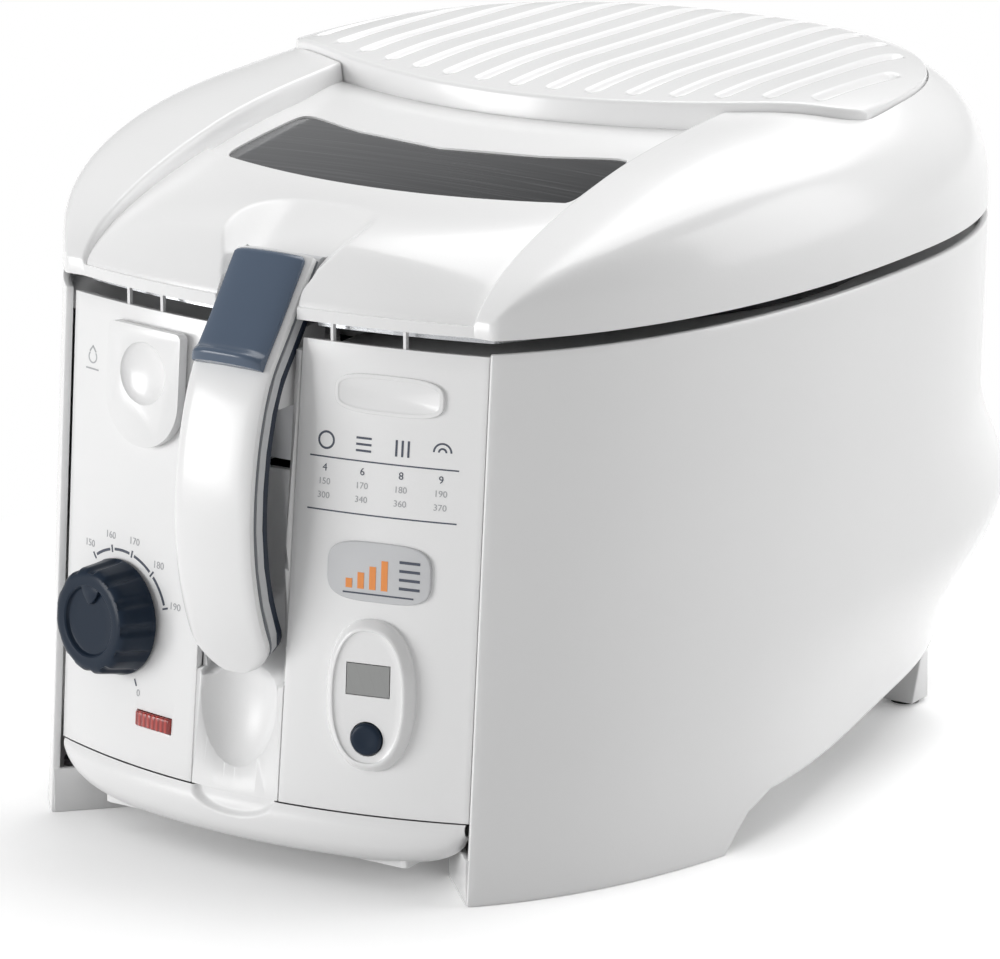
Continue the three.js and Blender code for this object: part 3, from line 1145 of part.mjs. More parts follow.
// The window's outline in plan lies between two arcs.
function windowSlab(grow, depthTop, depthBottom) {
  const half = WINDOW_HALF_WIDTH + grow;
  const frontV = (x) => WINDOW_V[0] - grow + 0.4 * frontSag(x);
  const rearV = (x) => WINDOW_V[1] + grow + 1.1 * frontSag(x);
  const surface = (depth) => (x, t) => {
    const v = mix(frontV(x), rearV(x), t);
    return [x * mix(1, WINDOW_TAPER, t), v + frontSag(x), rampZ(v) - depth];
  };
  return slab(steps(-half, half, 10), steps(0, 1, 4), surface(depthTop), surface(depthBottom));
}

function lidShell() {
  let shell = lidBlank(0, LID_BASE).subtract(lidBlank(LID_WALL, LID_BASE - 8));
  shell = shell.subtract(windowSlab(FIT, -6, LID_WALL + 4));
  for (const y of steps(PAD_Y - 38, PAD_Y + 38, 4)) {
    shell = shell.subtract(box([-60, 60], [y - 2.5, y + 2.5], [COVER_FLOOR_Z - 8, COVER_FLOOR_Z + 3]));
  }
  for (const side of [-1, 1]) {
    const ear = HINGE_EAR_WIDTH / 2 + RUNNING;
    const [x0, x1] = [side * HINGE_EAR_X - ear, side * HINGE_EAR_X + ear];
    const ends = [side * (HINGE_EAR_X - ear), side * 12].sort((a, b) => a - b);
    shell = shell.add(rod('x', HINGE_BARREL_RADIUS, ...ends, [HINGE_Y, HINGE_Z], 16));
    shell = shell.subtract(box([x0, x1], [HINGE_Y - 7, REAR_Y + 5], [LID_BASE - 20, HINGE_Z + 7]));
    const across = (a, b) => [side * a, side * b].sort((p, q) => p - q);
    const jamb = HANDLE_HALF_WIDTH + HEAD_CLEARANCE;
    shell = shell.add(box(across(HOOK_X[0], jamb + WALL / 2), [CATCH_Y - 3, CATCH_Y],
      [HOOK_Z - 3, HOOK_Z - FIT]));
    shell = shell.add(box(across(jamb, jamb + WALL / 2), [CATCH_Y - 3, CATCH_Y], [HOOK_Z - 3, HOOK_Z + 8]));
  }
  shell = shell.subtract(rod('x', HINGE_PIN_RADIUS + FIT, -WIDTH, WIDTH, [HINGE_Y, HINGE_Z], 12));
  return piece('lid_shell', shell, white());
}

function windowPane() {
  return piece('window_pane', windowSlab(0, 1, 1 + WINDOW_THICKNESS), darkGrey());
}

function windowSeal() {
  const top = Math.max(LID_WALL, 1 + WINDOW_THICKNESS) + FIT;
  const ring = windowSlab(4, top, top + 2).subtract(windowSlab(-4, 0, 12));
  return piece('window_seal', ring, rubber());
}

function lidLiner() {
  const gap = LID_WALL + FIT;
  const tray = (inset, low, high) => loft([low, high].map((z) => planRing(BODY_TOP, inset, INNER_COUNT)
    .map((p) => p.clone().setZ(z))))
    .subtract(aheadOfLid(inset));
  const top = LID_BASE + LINER_FLANGE;
  let liner = tray(LINER_INSET, LINER_Z, top).add(tray(gap, LID_BASE, top))
    .subtract(tray(LINER_INSET + LINER_THICKNESS, LINER_Z + LINER_THICKNESS, HEIGHT));
  liner = liner.subtract(scoop(gap)).subtract(headRoom(gap));
  const view = windowSlab(-6, -40, 60);
  liner = liner.subtract(view);
  for (const x of steps(-48, 48, 4)) liner = liner.subtract(box([x - 2, x + 2], [PAD_Y - 42, PAD_Y + 28],
    [LINER_Z - 5, LINER_Z + 5]));
  return piece('lid_liner', liner, steel());
}

function lidGasket() {
  const low = DECK_TOP + FIT + BOWL_WALL + FIT;
  const r = BOWL_RADIUS + BOWL_FLANGE / 2;
  const ring = turned([[r - 2, low], [r + 2, low], [r + 2, LINER_Z - FIT], [r - 2, LINER_Z - FIT]],
    BOWL_COUNT);
  const moved = placed(ring, new THREE.Matrix4().setPosition(0, BOWL_Y, 0));
  const notch = box([-CARRIER_HALF_WIDTH - 1, CARRIER_HALF_WIDTH + 1], [-WIDTH, 0],
    [0, low + HANGER_THICKNESS + FIT]);
  return piece('lid_gasket', moved.subtract(notch), rubber());
}

function filterPad() {
  const [w, d, h] = PAD_SIZE;
  const z = COVER_FLOOR_Z + FIT;
  return piece('filter_pad', box([-w / 2, w / 2], [PAD_Y - d / 2, PAD_Y + d / 2], [z, z + h]), darkGrey());
}

function filterCover() {
  const outer = throughZ(coverOutline(FIT + 0.3), COVER_FLOOR_Z + FIT, HEIGHT + 5);
  const inner = throughZ(coverOutline(FIT + COVER_WALL), COVER_FLOOR_Z - 5, HEIGHT + 5);
  const skin = (offset) => dome(offset, LID_BASE - 10, INNER_COUNT);
  let cover = outer.intersect(skin(-COVER_PROUD)).subtract(inner.intersect(skin(COVER_WALL)));
  const grooveFloor = skin(GROOVE_DEPTH - COVER_PROUD);
  const reach = ((GROOVE_COUNT - 1) / 2) * GROOVE_PITCH;
  const middle = throughZ(coverOutline(9), COVER_FLOOR_Z, HEIGHT + 10);
  const grooves = allOf(steps(-reach, reach, GROOVE_COUNT - 1)
    .map((x) => box([x - GROOVE_WIDTH / 2, x + GROOVE_WIDTH / 2], [COVER_FRONT_Y, REAR_Y],
      [LID_BASE, HEIGHT + 9])));
  cover = cover.subtract(grooves.intersect(middle).subtract(grooveFloor));
  return piece('filter_cover', cover, white());
}

// ---------------------------------------------------------------- handle

const bow = new THREE.CatmullRomCurve3(HANDLE_BOW.map(([back, rise]) => (
  new THREE.Vector3(0, FRONT_Y + back, mix(...HANDLE_Z, rise)))));
const BOW_LENGTH = bow.getLength();

// A point on the handle, at a share of its width, a run from the tip and a depth behind the face.
function onHandle(share, run, depth, halfWidth = HANDLE_HALF_WIDTH) {
  const t = THREE.MathUtils.clamp(run / BOW_LENGTH, 0, 1);
  const along = bow.getTangentAt(t);
  const point = bow.getPointAt(t);
  const inwards = new THREE.Vector3(0, along.z, -along.y);
  const narrow = Math.sqrt(1 - (1 - Math.min((run + 0.4) / HANDLE_TIP_RADIUS, 1)) ** 2);
  const x = share * halfWidth * narrow;
  const crown = HANDLE_CROWN * (x / HANDLE_HALF_WIDTH) ** 2;
  return point.addScaledVector(inwards, depth + crown).setX(x);
}

function handleLayer([near, far], topRun, edge = 0) {
  const runs = [...TIP_RUNS, ...steps(TIP_RUNS.at(-1), topRun, 10).slice(1)];
  const rounding = (share) => edge * Math.max(0, (Math.abs(share) - 0.86) / 0.14) ** 2;
  return slab(HANDLE_SHARES, runs, (u, s) => onHandle(u, s, near + rounding(u)).toArray(),
    (u, s) => onHandle(u, s, far).toArray());
}

function handleShell() {
  const slot = slab([-SLIDER_STEM - RUNNING, SLIDER_STEM + RUNNING],
    steps(BOW_LENGTH - SLIDER_SLOT[1], BOW_LENGTH - SLIDER_SLOT[0], 6),
    (x, s) => onHandle(0, s, -2).setX(x).toArray(), (x, s) => onHandle(0, s, SHELL_DEPTH + 2).setX(x)
      .toArray());
  return piece('handle_shell', handleLayer([0, SHELL_DEPTH], BOW_LENGTH, 0.9).subtract(slot), white());
}

function handleTrim() {
  return piece('handle_trim', handleLayer([TRIM_DEPTH, TRIM_DEPTH + TRIM_THICKNESS], BOW_LENGTH),
    darkGrey());
}

function handleCore() {
  const cheek = HANDLE_HALF_WIDTH - FIT;
  const tongue = TONGUE_WIDTH / 2 + RUNNING;
  const head = rod('x', HANDLE_CHEEK_RADIUS, -cheek, cheek, HANDLE_PIVOT, 16);
  const slot = rod('x', HANDLE_CHEEK_RADIUS + 1.4, -tongue, tongue, HANDLE_PIVOT, 16);
  const bore = rod('x', HANDLE_PIN_RADIUS + FIT, -WIDTH, WIDTH, HANDLE_PIVOT, 12);
  const layer = handleLayer([CORE_DEPTH_AT, CORE_DEPTH_AT + CORE_DEPTH], BOW_LENGTH);
  return piece('handle_core', layer.add(head).subtract(slot).subtract(bore), paleGrey());
}

function handleBack() {
  return piece('handle_back', handleLayer([BACK_DEPTH_AT, HANDLE_DEPTH], BOW_LENGTH - BACK_SHORT), navy());
}

function handlePin() {
  const end = HANDLE_HALF_WIDTH - FIT;
  return piece('handle_pin', rod('x', HANDLE_PIN_RADIUS, -end, end, HANDLE_PIVOT, 20), steel());
}

function handleSlider() {
  const runs = steps(BOW_LENGTH - SLIDER_LENGTH - 1, BOW_LENGTH - 1, 12);
  const shares = steps(-1, 1, 6);
  const proud = (u, s) => {
    const below = s - runs[0];
    const above = runs.at(-1) - s;
    const lip = SLIDER_LIP * Math.exp(-(((below - 2.4) / 2.2) ** 2));
    const roundTop = 1 - Math.max(0, 1 - above / 4) ** 2 * 0.8;
    const roundSide = 1 - 0.45 * Math.abs(u) ** 6;
    return -(FIT + SLIDER_PROUD * roundTop * roundSide + lip * roundSide);
  };
  const width = (s) => SLIDER_HALF_WIDTH * Math.sqrt(1 - Math.max(0, 1 - (runs.at(-1) - s + 0.5) / 7) ** 2);
  const body = slab(shares, runs, (u, s) => onHandle(u, s, proud(u, s), width(s)).toArray(),
    (u, s) => onHandle(u, s, -FIT, width(s)).toArray());
  const stem = slab([-SLIDER_STEM, SLIDER_STEM],
    steps(BOW_LENGTH - SLIDER_SLOT[0] - 14.6, BOW_LENGTH - SLIDER_SLOT[0] - RUNNING, 3),
    (x, s) => onHandle(0, s, -1).setX(x).toArray(), (x, s) => onHandle(0, s, SHELL_DEPTH - 0.2).setX(x)
      .toArray());
  return piece('handle_slider', body.add(stem), navy());
}

// The wedge behind the handle, with the tongue that carries the pivot.
function handleBracket() {
  const back = BAY_BACK_Y - FIT;
  const low = RELEASE_Z[1] + RUNNING * 2;
  const front = steps(0, BOW_LENGTH, 60).map((run) => onHandle(0, run,
    HANDLE_DEPTH + HANDLE_CROWN + RUNNING))
    .filter((p) => p.z > low && p.z < BRACKET_TOP).map((p) => [p.y, p.z]);
  const wedge = throughX([[back, low], [front[0][0] + 1, low], ...front,
    [front.at(-1)[0] + 3, BRACKET_TOP], [back, BRACKET_TOP]],
    -BRACKET_HALF_WIDTH, BRACKET_HALF_WIDTH);
  const [y, z] = HANDLE_PIVOT;
  const eye = rod('x', TONGUE_EYE, -TONGUE_WIDTH / 2, TONGUE_WIDTH / 2, HANDLE_PIVOT, 24);
  const tongue = throughX([[y - TONGUE_EYE, z], [back - 9, BRACKET_TOP - 2], [back, BRACKET_TOP - 2],
    [y + TONGUE_EYE, z]].reverse(),
    -TONGUE_WIDTH / 2, TONGUE_WIDTH / 2);
  const bore = rod('x', HANDLE_PIN_RADIUS + FIT, -WIDTH, WIDTH, HANDLE_PIVOT, 12);
  return piece('handle_bracket', allOf([wedge, tongue, eye]).subtract(bore), navy());
}

// ---------------------------------------------------------------- assembly

function group(name, ...children) {
  const made = new THREE.Group();
  made.name = name;
  made.add(...children);
  return made;
}

const knobShaft = () => piece('knob_shaft', knobShaftSolid(0), steel());
const footPads = [...[-1, 1].map((side) => [side * FRONT_PAD[0], FRONT_PAD[1], FRONT_PAD_RADIUS]),
  ...[-1, 1].map((side) => [side * REAR_LEG_X, REAR_LEG_Y, REAR_PAD_RADIUS])]
  .map(([x, y, radius], k) => footPad(`foot_pad_${k + 1}`, x, y, radius));

const base = group('base_group', housingShell(), basePlate(), rearTower(), cordInlet(), lidHingePin(),
  ...footPads,
  ...SCREWS.map((at, k) => baseScrew(`base_screw_${k + 1}`, at)));
const front = group('front_group', leftPanel(), rightPanel(), handleBay(), releaseButton(), releaseSpring(),
  drainHose(), hosePocket(), drainDoor(), controlGroup(DOOR_AT, hosePlug()),
  controlGroup(KNOB_AT, knob(), knobShaft(), thermostat()),
  timerHousing(), controlGroup(TIMER_AT, timerDisplay(), timerButton(), coinCell()),
  controlGroup(LENS_AT, indicatorLens()));
const frying = group('frying_group', bowl(), heatingElement(), gearMotor(), driveSpindle(), basket(),
  basketCarrier(),
  carrierHanger());
const lid = group('lid_group', lidShell(), windowPane(), windowSeal(), lidLiner(), lidGasket(),
  filterPad(), filterCover());
const handle = group('handle_group', handleShell(), handleTrim(), handleCore(), handleBack(), handlePin(),
  handleSlider(),
  handleBracket());

export default group('deep_fryer', base, front, frying, lid, handle);
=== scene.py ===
# %% [markdown]
# # A deep fryer whose handle raises and lowers a turning basket
#
# The solid model is loaded first, as a frame that nothing here moves or changes.
# Every surface that shows is then dressed: where a solid is smooth enough it keeps its
# mesh and gets a finish, and where a facet would show a finer piece takes its place.
# The front faces -Y, +X is to the right of the front and +Z is up. Blender's lengths are in
# metres, and the sizes written below are in millimetres.

# %% Load the solid model
import json
import math

import bmesh
import bpy
import numpy as np
from mathutils import Matrix, Vector

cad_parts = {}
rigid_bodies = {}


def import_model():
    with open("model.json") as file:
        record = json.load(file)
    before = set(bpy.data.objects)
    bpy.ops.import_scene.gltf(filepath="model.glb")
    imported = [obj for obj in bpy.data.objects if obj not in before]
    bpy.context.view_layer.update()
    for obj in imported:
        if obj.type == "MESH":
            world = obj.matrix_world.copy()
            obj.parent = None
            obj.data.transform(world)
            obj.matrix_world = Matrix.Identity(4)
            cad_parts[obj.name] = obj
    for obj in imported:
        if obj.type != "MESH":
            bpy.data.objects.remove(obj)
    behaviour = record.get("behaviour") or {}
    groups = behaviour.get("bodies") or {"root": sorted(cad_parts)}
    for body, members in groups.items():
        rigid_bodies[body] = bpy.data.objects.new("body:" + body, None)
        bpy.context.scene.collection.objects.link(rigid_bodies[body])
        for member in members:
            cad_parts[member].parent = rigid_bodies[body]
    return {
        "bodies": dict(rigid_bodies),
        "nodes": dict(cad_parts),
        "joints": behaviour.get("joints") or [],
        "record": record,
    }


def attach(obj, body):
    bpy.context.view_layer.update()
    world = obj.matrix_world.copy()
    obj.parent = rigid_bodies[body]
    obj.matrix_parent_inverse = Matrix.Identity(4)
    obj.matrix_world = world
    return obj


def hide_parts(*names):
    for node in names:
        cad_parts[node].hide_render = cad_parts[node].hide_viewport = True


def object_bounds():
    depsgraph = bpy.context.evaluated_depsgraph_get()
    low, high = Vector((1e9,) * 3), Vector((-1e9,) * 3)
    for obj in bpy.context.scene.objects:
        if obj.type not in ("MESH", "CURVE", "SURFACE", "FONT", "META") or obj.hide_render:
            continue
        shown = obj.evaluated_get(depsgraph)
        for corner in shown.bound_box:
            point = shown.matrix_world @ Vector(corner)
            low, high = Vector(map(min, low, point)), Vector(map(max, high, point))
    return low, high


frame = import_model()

solid_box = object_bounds()
nodes = frame["nodes"]
print("solid model:", len(nodes), "nodes,", [round(v, 4) for v in solid_box[1] - solid_box[0]], "m")

# %% [markdown]
# ## Camera
#
# A long lens from well back keeps the sides nearly parallel, as product pictures do.
# The camera is placed before anything else, because every other choice is judged
# through it.

# %% Camera
CAMERA_AT = Vector((0.93862, -1.45969, 0.58257))
CAMERA_AIM = Vector((0.02965, -0.06, 0.10791))
FOCAL_MM = 189.85

lens = bpy.data.cameras.new("camera")
lens.sensor_width = 36
lens.lens = FOCAL_MM
lens.clip_start = 0.05
lens.clip_end = 50
camera = bpy.data.objects.new("camera", lens)
bpy.context.scene.collection.objects.link(camera)
camera.location = CAMERA_AT
camera.rotation_mode = "QUATERNION"
camera.rotation_quaternion = (CAMERA_AIM - CAMERA_AT).to_track_quat("-Z", "Y")
bpy.context.scene.camera = camera
print("camera:", round((CAMERA_AIM - CAMERA_AT).length, 3), "m from the object")

# %% [markdown]
# ## Writing a material as a formula
#
# A finish is mostly arithmetic on a pattern. Placing Math nodes one by one hides that,
# so a small class wraps a socket and turns Python's operators into the nodes.

# %% Shader formulas
class Wire:
    """An output socket on which + - * / and ** add Math nodes."""

    def __init__(self, finish, socket):
        self.finish = finish
        self.socket = socket

    def math(self, operation, *others, clamp=False):
        values = dict(enumerate([self, *others]))
        return self.finish.node("Math", {"operation": operation, "use_clamp": clamp}, values)

    def __add__(self, other):
        return self.math("ADD", other)

    def __sub__(self, other):
        return self.math("SUBTRACT", other)

    def __mul__(self, other):
        return self.math("MULTIPLY", other)

    def __truediv__(self, other):
        return self.math("DIVIDE", other)

    def __pow__(self, other):
        return self.math("POWER", other)

    def clamped(self):
        return self.math("MULTIPLY", 1.0, clamp=True)


class Finish:
    """A Principled material that is built from wires."""

    def __init__(self, name, colour, roughness, metallic=0.0, **fixed):
        self.material = bpy.data.materials.new(name)
        self.material.use_nodes = True
        self.tree = self.material.node_tree
        self.shader = self.tree.nodes["Principled BSDF"]
        self.set("Base Color", colour)
        self.set("Roughness", roughness)
        self.set("Metallic", metallic)
        for socket, value in fixed.items():
            self.set(socket.replace("_", " "), value)

    def feed(self, socket, value):
        if isinstance(value, Wire):
            self.tree.links.new(value.socket, socket)
        elif socket.type == "RGBA" and len(value) == 3:
            socket.default_value = (*value, 1.0)
        else:
            socket.default_value = value

    def set(self, name, value):
        self.feed(self.shader.inputs[name], value)
        return self

    def node(self, kind, settings=None, inputs=None, output=0):
        made = self.tree.nodes.new("ShaderNode" + kind)
        for key, value in (settings or {}).items():
            setattr(made, key, value)
        for key, value in (inputs or {}).items():
            self.feed(made.inputs[key], value)
        return Wire(self, made.outputs[output])

    def place(self):
        """The object's own coordinates."""
        return self.node("TexCoord", output=3)

    def stretched(self, scale, **more):
        return self.node("Mapping", {}, {"Vector": self.place(), "Scale": scale, **more})

    def noise(self, scale, detail=2.0, roughness=0.5, vector=None):
        return self.node("TexNoise", {}, {"Vector": vector or self.place(), "Scale": scale,
                                          "Detail": detail, "Roughness": roughness})

    def mix(self, factor, first, second):
        return self.node("Mix", {"data_type": "RGBA"}, {0: factor, 6: first, 7: second}, output=2)

    def bump(self, height, distance):
        return self.set("Normal", self.node("Bump", {}, {"Height": height, "Distance": distance}))


def srgb(*levels):
    """A colour as a screen shows it, 0 to 255, turned to linear light."""
    shares = [level / 255 for level in levels]
    return tuple(s / 12.92 if s < 0.04 else ((s + 0.055) / 1.055) ** 2.4 for s in shares)


def shade(colour, by):
    return tuple(c * by for c in colour)


# %% [markdown]
# ## Finishes
#
# The body is glossy white plastic. Its surface isn't a mirror: moulded plastic has a faint
# orange peel, which a fine noise in the bump gives, and slow waves where the wall cooled
# unevenly. The colour drifts by one or two parts in a hundred.

# %% Finishes
def moulded(name, colour, roughness, peel=0.00002, grain=900.0, drift=0.02, **fixed):
    """Moulded plastic: a faint peel in the surface and a slow drift of its colour."""
    made = Finish(name, colour, roughness, **fixed)
    slow = made.noise(18.0, 1.0)
    made.set("Base Color", made.mix(slow, shade(colour, 1 - drift), shade(colour, 1 + drift / 2)))
    fine = made.noise(grain, 2.0, 0.55)
    made.set("Roughness", (slow - 0.5) * 0.06 + fine * 0.04 + (roughness - 0.02))
    made.bump(fine, peel)
    return made.material


WHITE = srgb(243, 243, 243)
NAVY = srgb(30, 42, 60)
white_gloss = moulded("white_gloss", WHITE, 0.24, Coat_Weight=0.15, Coat_Roughness=0.12)
white_satin = moulded("white_satin", WHITE, 0.36, 0.00003, 1400.0)
white_inner = moulded("white_inner", shade(WHITE, 0.92), 0.45, 0.00004, 1100.0)
navy_satin = moulded("navy_satin", NAVY, 0.38, 0.00004, 1500.0, 0.08)
navy_gloss = moulded("navy_gloss", srgb(28, 41, 57), 0.3, 0.00002, 1200.0, 0.06, Specular_IOR_Level=0.2)
# The slider is the same navy plastic as the knob, lightened to slate: painted sheen for the soft box
# that its glossy top mirrors.
navy_painted_sheen = moulded("navy_painted_sheen", srgb(82, 96, 115), 0.24, 0.00002, 1200.0, 0.06)
pale_grey = moulded("pale_grey", srgb(206, 207, 209), 0.4)
trim_grey = moulded("trim_grey", srgb(118, 122, 128), 0.3, 0.00002, 1200.0)
dark_plastic = moulded("dark_plastic", srgb(58, 59, 61), 0.42, 0.00005, 1300.0, 0.06)
black_rubber = moulded("black_rubber", srgb(40, 40, 41), 0.78, 0.00008, 2200.0, 0.08)


def brushed_steel(name, colour, roughness):
    """Drawn steel: long scratches along X, which stretch a noise."""
    made = Finish(name, colour, roughness, 1.0)
    scratches = made.noise(1.0, 3.0, 0.6, made.stretched((60.0, 1800.0, 1800.0)))
    made.set("Roughness", scratches * 0.18 + (roughness - 0.08))
    made.set("Base Color", made.mix(scratches, shade(colour, 0.88), colour))
    made.bump(scratches, 0.00002)
    return made.material


def coated(name, colour):
    """Non-stick coating: dark, softly shining, with a fine speckle."""
    made = Finish(name, colour, 0.42, 0.2)
    speckle = made.noise(2600.0, 1.0) ** 4.0 * 3.0
    made.set("Base Color", made.mix(speckle.clamped(), colour, shade(colour, 2.2)))
    made.bump(made.noise(1500.0, 2.0), 0.00006)
    return made.material


def fleece(name, colour):
    """The filter's fleece: fibres laid crossways with dark gaps between them."""
    made = Finish(name, colour, 0.95)
    one, other = [made.noise(1.0, 3.0, 0.6, made.stretched(scale))
                  for scale in ((180.0, 1500.0, 900.0), (1500.0, 180.0, 900.0))]
    fibres = one * other * 2.0
    made.set("Base Color", made.mix(fibres.clamped(), shade(colour, 0.55), shade(colour, 1.1)))
    made.bump(fibres, 0.0004)
    return made.material


def tinted_glass(name):
    """The window: dark tinted glass with a painted reflection that lightens it on the left and fades out
    to the right, and faint rubbing marks.
    """
    made = Finish(name, srgb(70, 71, 73), 0.08, Coat_Weight=0.1, Coat_Roughness=0.03,
                  Specular_IOR_Level=0.25)
    # Painted reflection: the colour runs from light on the left of the lid to dark on the right.
    painted_reflection_fade = made.node("SeparateXYZ", {}, {0: made.place()}) / 0.14 + 0.5
    colour = made.mix(painted_reflection_fade.clamped(), srgb(92, 93, 95), srgb(34, 35, 37))
    across = made.stretched((14.0, 900.0, 14.0), Rotation=(0.0, 0.0, 0.5))
    marks = made.noise(1.0, 2.0, 0.5, across) ** 5.0 * 5.0
    made.set("Base Color", made.mix(marks.clamped() * 0.25, colour, srgb(128, 129, 131)))
    made.set("Roughness", marks * 0.15 + 0.06)
    return made.material


def signal_lens(name):
    """The pilot light's lens: deep red, with the shallow upright prisms that spread its light."""
    made = Finish(name, srgb(150, 28, 26), 0.18, Coat_Weight=0.5, Coat_Roughness=0.05)
    prisms = made.node("TexWave", {"wave_type": "BANDS", "bands_direction": "X", "wave_profile": "TRI"},
                       {"Vector": made.place(), "Scale": 160.0})
    made.set("Base Color", made.mix(prisms, srgb(120, 20, 20), srgb(196, 62, 52)))
    made.bump(prisms, 0.0002)
    return made.material


def liquid_crystal(name):
    """The timer's display: a grey sheet with the ghost of its unlit segments."""
    colour = srgb(150, 151, 150)
    made = Finish(name, colour, 0.3, Coat_Weight=0.4, Coat_Roughness=0.08)
    cells = made.node("TexBrick", {"offset": 0.0},
                      {"Vector": made.place(), "Scale": 320.0, "Mortar Size": 0.012}, output=1)
    made.set("Base Color", made.mix(cells * 0.1, colour, srgb(120, 121, 120)))
    return made.material


steel = brushed_steel("steel", srgb(196, 198, 201), 0.26)
bowl_coat = coated("bowl_coat", srgb(44, 45, 47))
filter_fleece = fleece("filter_fleece", srgb(190, 188, 180))
window_tint_and_reflection = tinted_glass("window_tint_and_reflection")
red_lens = signal_lens("red_lens")
display_grey = liquid_crystal("display_grey")
print("finishes:", len(bpy.data.materials))

# %% [markdown]
# ## Dressing the solids
#
# The record says which finish slot each solid uses. Some white pieces are hidden inside and
# get a duller white, and the slider's navy is lightened to slate as painted sheen, so the choice
# is made by name where it differs from the slot.

# %% Dress the solids
SLOT_FINISH = {
    "white_plastic": white_gloss, "navy_plastic": navy_satin, "pale_plastic": pale_grey,
    "grey_trim": trim_grey, "rubber": black_rubber, "steel": steel, "bowl_coating": bowl_coat,
    "window_glass": window_tint_and_reflection, "display_grey": display_grey, "red_lens": red_lens,
    "dark_plastic": dark_plastic, "filter_fleece": filter_fleece,
}
OWN_FINISH = {
    "base_plate": white_satin, "hose_pocket": white_inner, "handle_bay": white_satin,
    "handle_bracket": white_inner, "handle_slider": navy_painted_sheen,
}


def dress(piece, material):
    piece.data.materials.clear()
    piece.data.materials.append(material)


for row in frame["record"]["subparts"]:
    dress(nodes[row["node"]], OWN_FINISH.get(row["node"], SLOT_FINISH[row["material_slot"]]))
bpy.ops.object.select_all(action="DESELECT")
print("dressed:", len(nodes))

# %% [markdown]
# ## Modelling tools
#
# Each new piece starts as one of Blender's primitives and is shaped from there. A curved
# moulding such as this lid can't be reached by extruding alone, so a primitive grid is
# laid over the surface instead: its lines go where the real moulding bends, close together
# at an edge and far apart where it is nearly flat. Modifiers then give the wall its
# thickness, cut its openings and break its edges.

# %% Modelling tools
MM = 0.001


def only(*pieces):
    """Select these pieces alone, with the first one active."""
    bpy.ops.object.select_all(action="DESELECT")
    for piece in pieces:
        piece.select_set(True)
    bpy.context.view_layer.objects.active = pieces[0]


def primitive(add, **settings):
    """Add one of Blender's primitives, with everything else deselected."""
    bpy.ops.object.select_all(action="DESELECT")
    add(**settings)
    return bpy.context.active_object


def applied(piece, kind, **settings):
    """Put a modifier on a piece and apply it."""
    only(piece)
    modifier = piece.modifiers.new(kind.lower(), kind)
    for key, value in settings.items():
        setattr(modifier, key, value)
    bpy.ops.object.modifier_apply(modifier=modifier.name)
    return piece


def in_edit_mode(piece, *steps):
    """Run mesh operators on all of a piece."""
    only(piece)
    bpy.ops.object.mode_set(mode="EDIT")
    bpy.ops.mesh.select_all(action="SELECT")
    for step in steps:
        step()
    bpy.ops.object.mode_set(mode="OBJECT")
    return piece


def welded(piece, distance=0.02):
    return in_edit_mode(piece, lambda: bpy.ops.mesh.remove_doubles(threshold=distance * MM),
                        lambda: bpy.ops.mesh.normals_make_consistent(inside=False))


def laid(name, us, vs, surface):
    """A primitive grid whose lines u and v are laid on a surface, given as x, y, z in mm."""
    piece = primitive(bpy.ops.mesh.primitive_grid_add, x_subdivisions=len(us) - 1,
                      y_subdivisions=len(vs) - 1, size=2)
    piece.name = name
    at = np.empty(len(piece.data.vertices) * 3)
    piece.data.vertices.foreach_get("co", at)
    at = (at.reshape(-1, 3) + 1) / 2
    column = np.rint(at[:, 0] * (len(us) - 1)).astype(int)
    row = np.rint(at[:, 1] * (len(vs) - 1)).astype(int)
    placed = np.stack(surface(np.asarray(us)[column], np.asarray(vs)[row]), axis=1) * MM
    piece.data.vertices.foreach_set("co", placed.ravel())
    piece.data.update()
    return piece


def walled(piece, thickness):
    """Give a surface its thickness, inwards from the face that shows."""
    return applied(piece, "SOLIDIFY", thickness=thickness * MM, offset=-1, use_even_offset=True,
                   use_quality_normals=True)


def eased(piece, width, angle=40, segments=2):
    """Break the sharp edges, as a mould does."""
    return applied(piece, "BEVEL", width=width * MM, segments=segments, limit_method="ANGLE",
                   angle_limit=math.radians(angle), harden_normals=False)


def cut(piece, *cutters, operation="DIFFERENCE"):
    """Cut a piece by others, which are used up."""
    for cutter in cutters:
        applied(piece, "BOOLEAN", object=cutter, operation=operation, solver="EXACT")
        bpy.data.objects.remove(cutter)
    return piece


def scaled(frame=None):
    """A frame in mm, brought to metres."""
    return Matrix.Scale(MM, 4) @ (frame or Matrix())


def block(x, y, z, frame=None):
    """A primitive cube between two corners, in mm, in the frame of a control if one is given."""
    piece = primitive(bpy.ops.mesh.primitive_cube_add, size=1)
    centre = Vector([(low + high) / 2 for low, high in (x, y, z)])
    size = Matrix.Diagonal([high - low for low, high in (x, y, z)] + [1])
    piece.data.transform(scaled(frame) @ Matrix.Translation(centre) @ size)
    return piece


def bar(radius, z, segments, frame=None, at=(0, 0, 0)):
    """A primitive cylinder between two heights."""
    piece = primitive(bpy.ops.mesh.primitive_cylinder_add, vertices=segments, radius=1, depth=1)
    size = Matrix.Diagonal([radius, radius, z[1] - z[0], 1])
    lift = Matrix.Translation((0, 0, (z[0] + z[1]) / 2))
    piece.data.transform(scaled(frame) @ Matrix.Translation(at) @ lift @ size)
    return piece


def ball(at, radii, segments, rings):
    """A primitive sphere stretched to three radii."""
    piece = primitive(bpy.ops.mesh.primitive_uv_sphere_add, segments=segments, ring_count=rings,
                      radius=1)
    piece.data.transform(scaled() @ Matrix.Translation(at) @ Matrix.Diagonal([*radii, 1]))
    return piece


def facing(piece, axis, sign):
    """Turn an open surface round unless it faces along an axis: 0, 1 or 2 for x, y or z."""
    if sign * sum(face.normal[axis] * face.area for face in piece.data.polygons) < 0:
        in_edit_mode(piece, bpy.ops.mesh.flip_normals)
    return piece


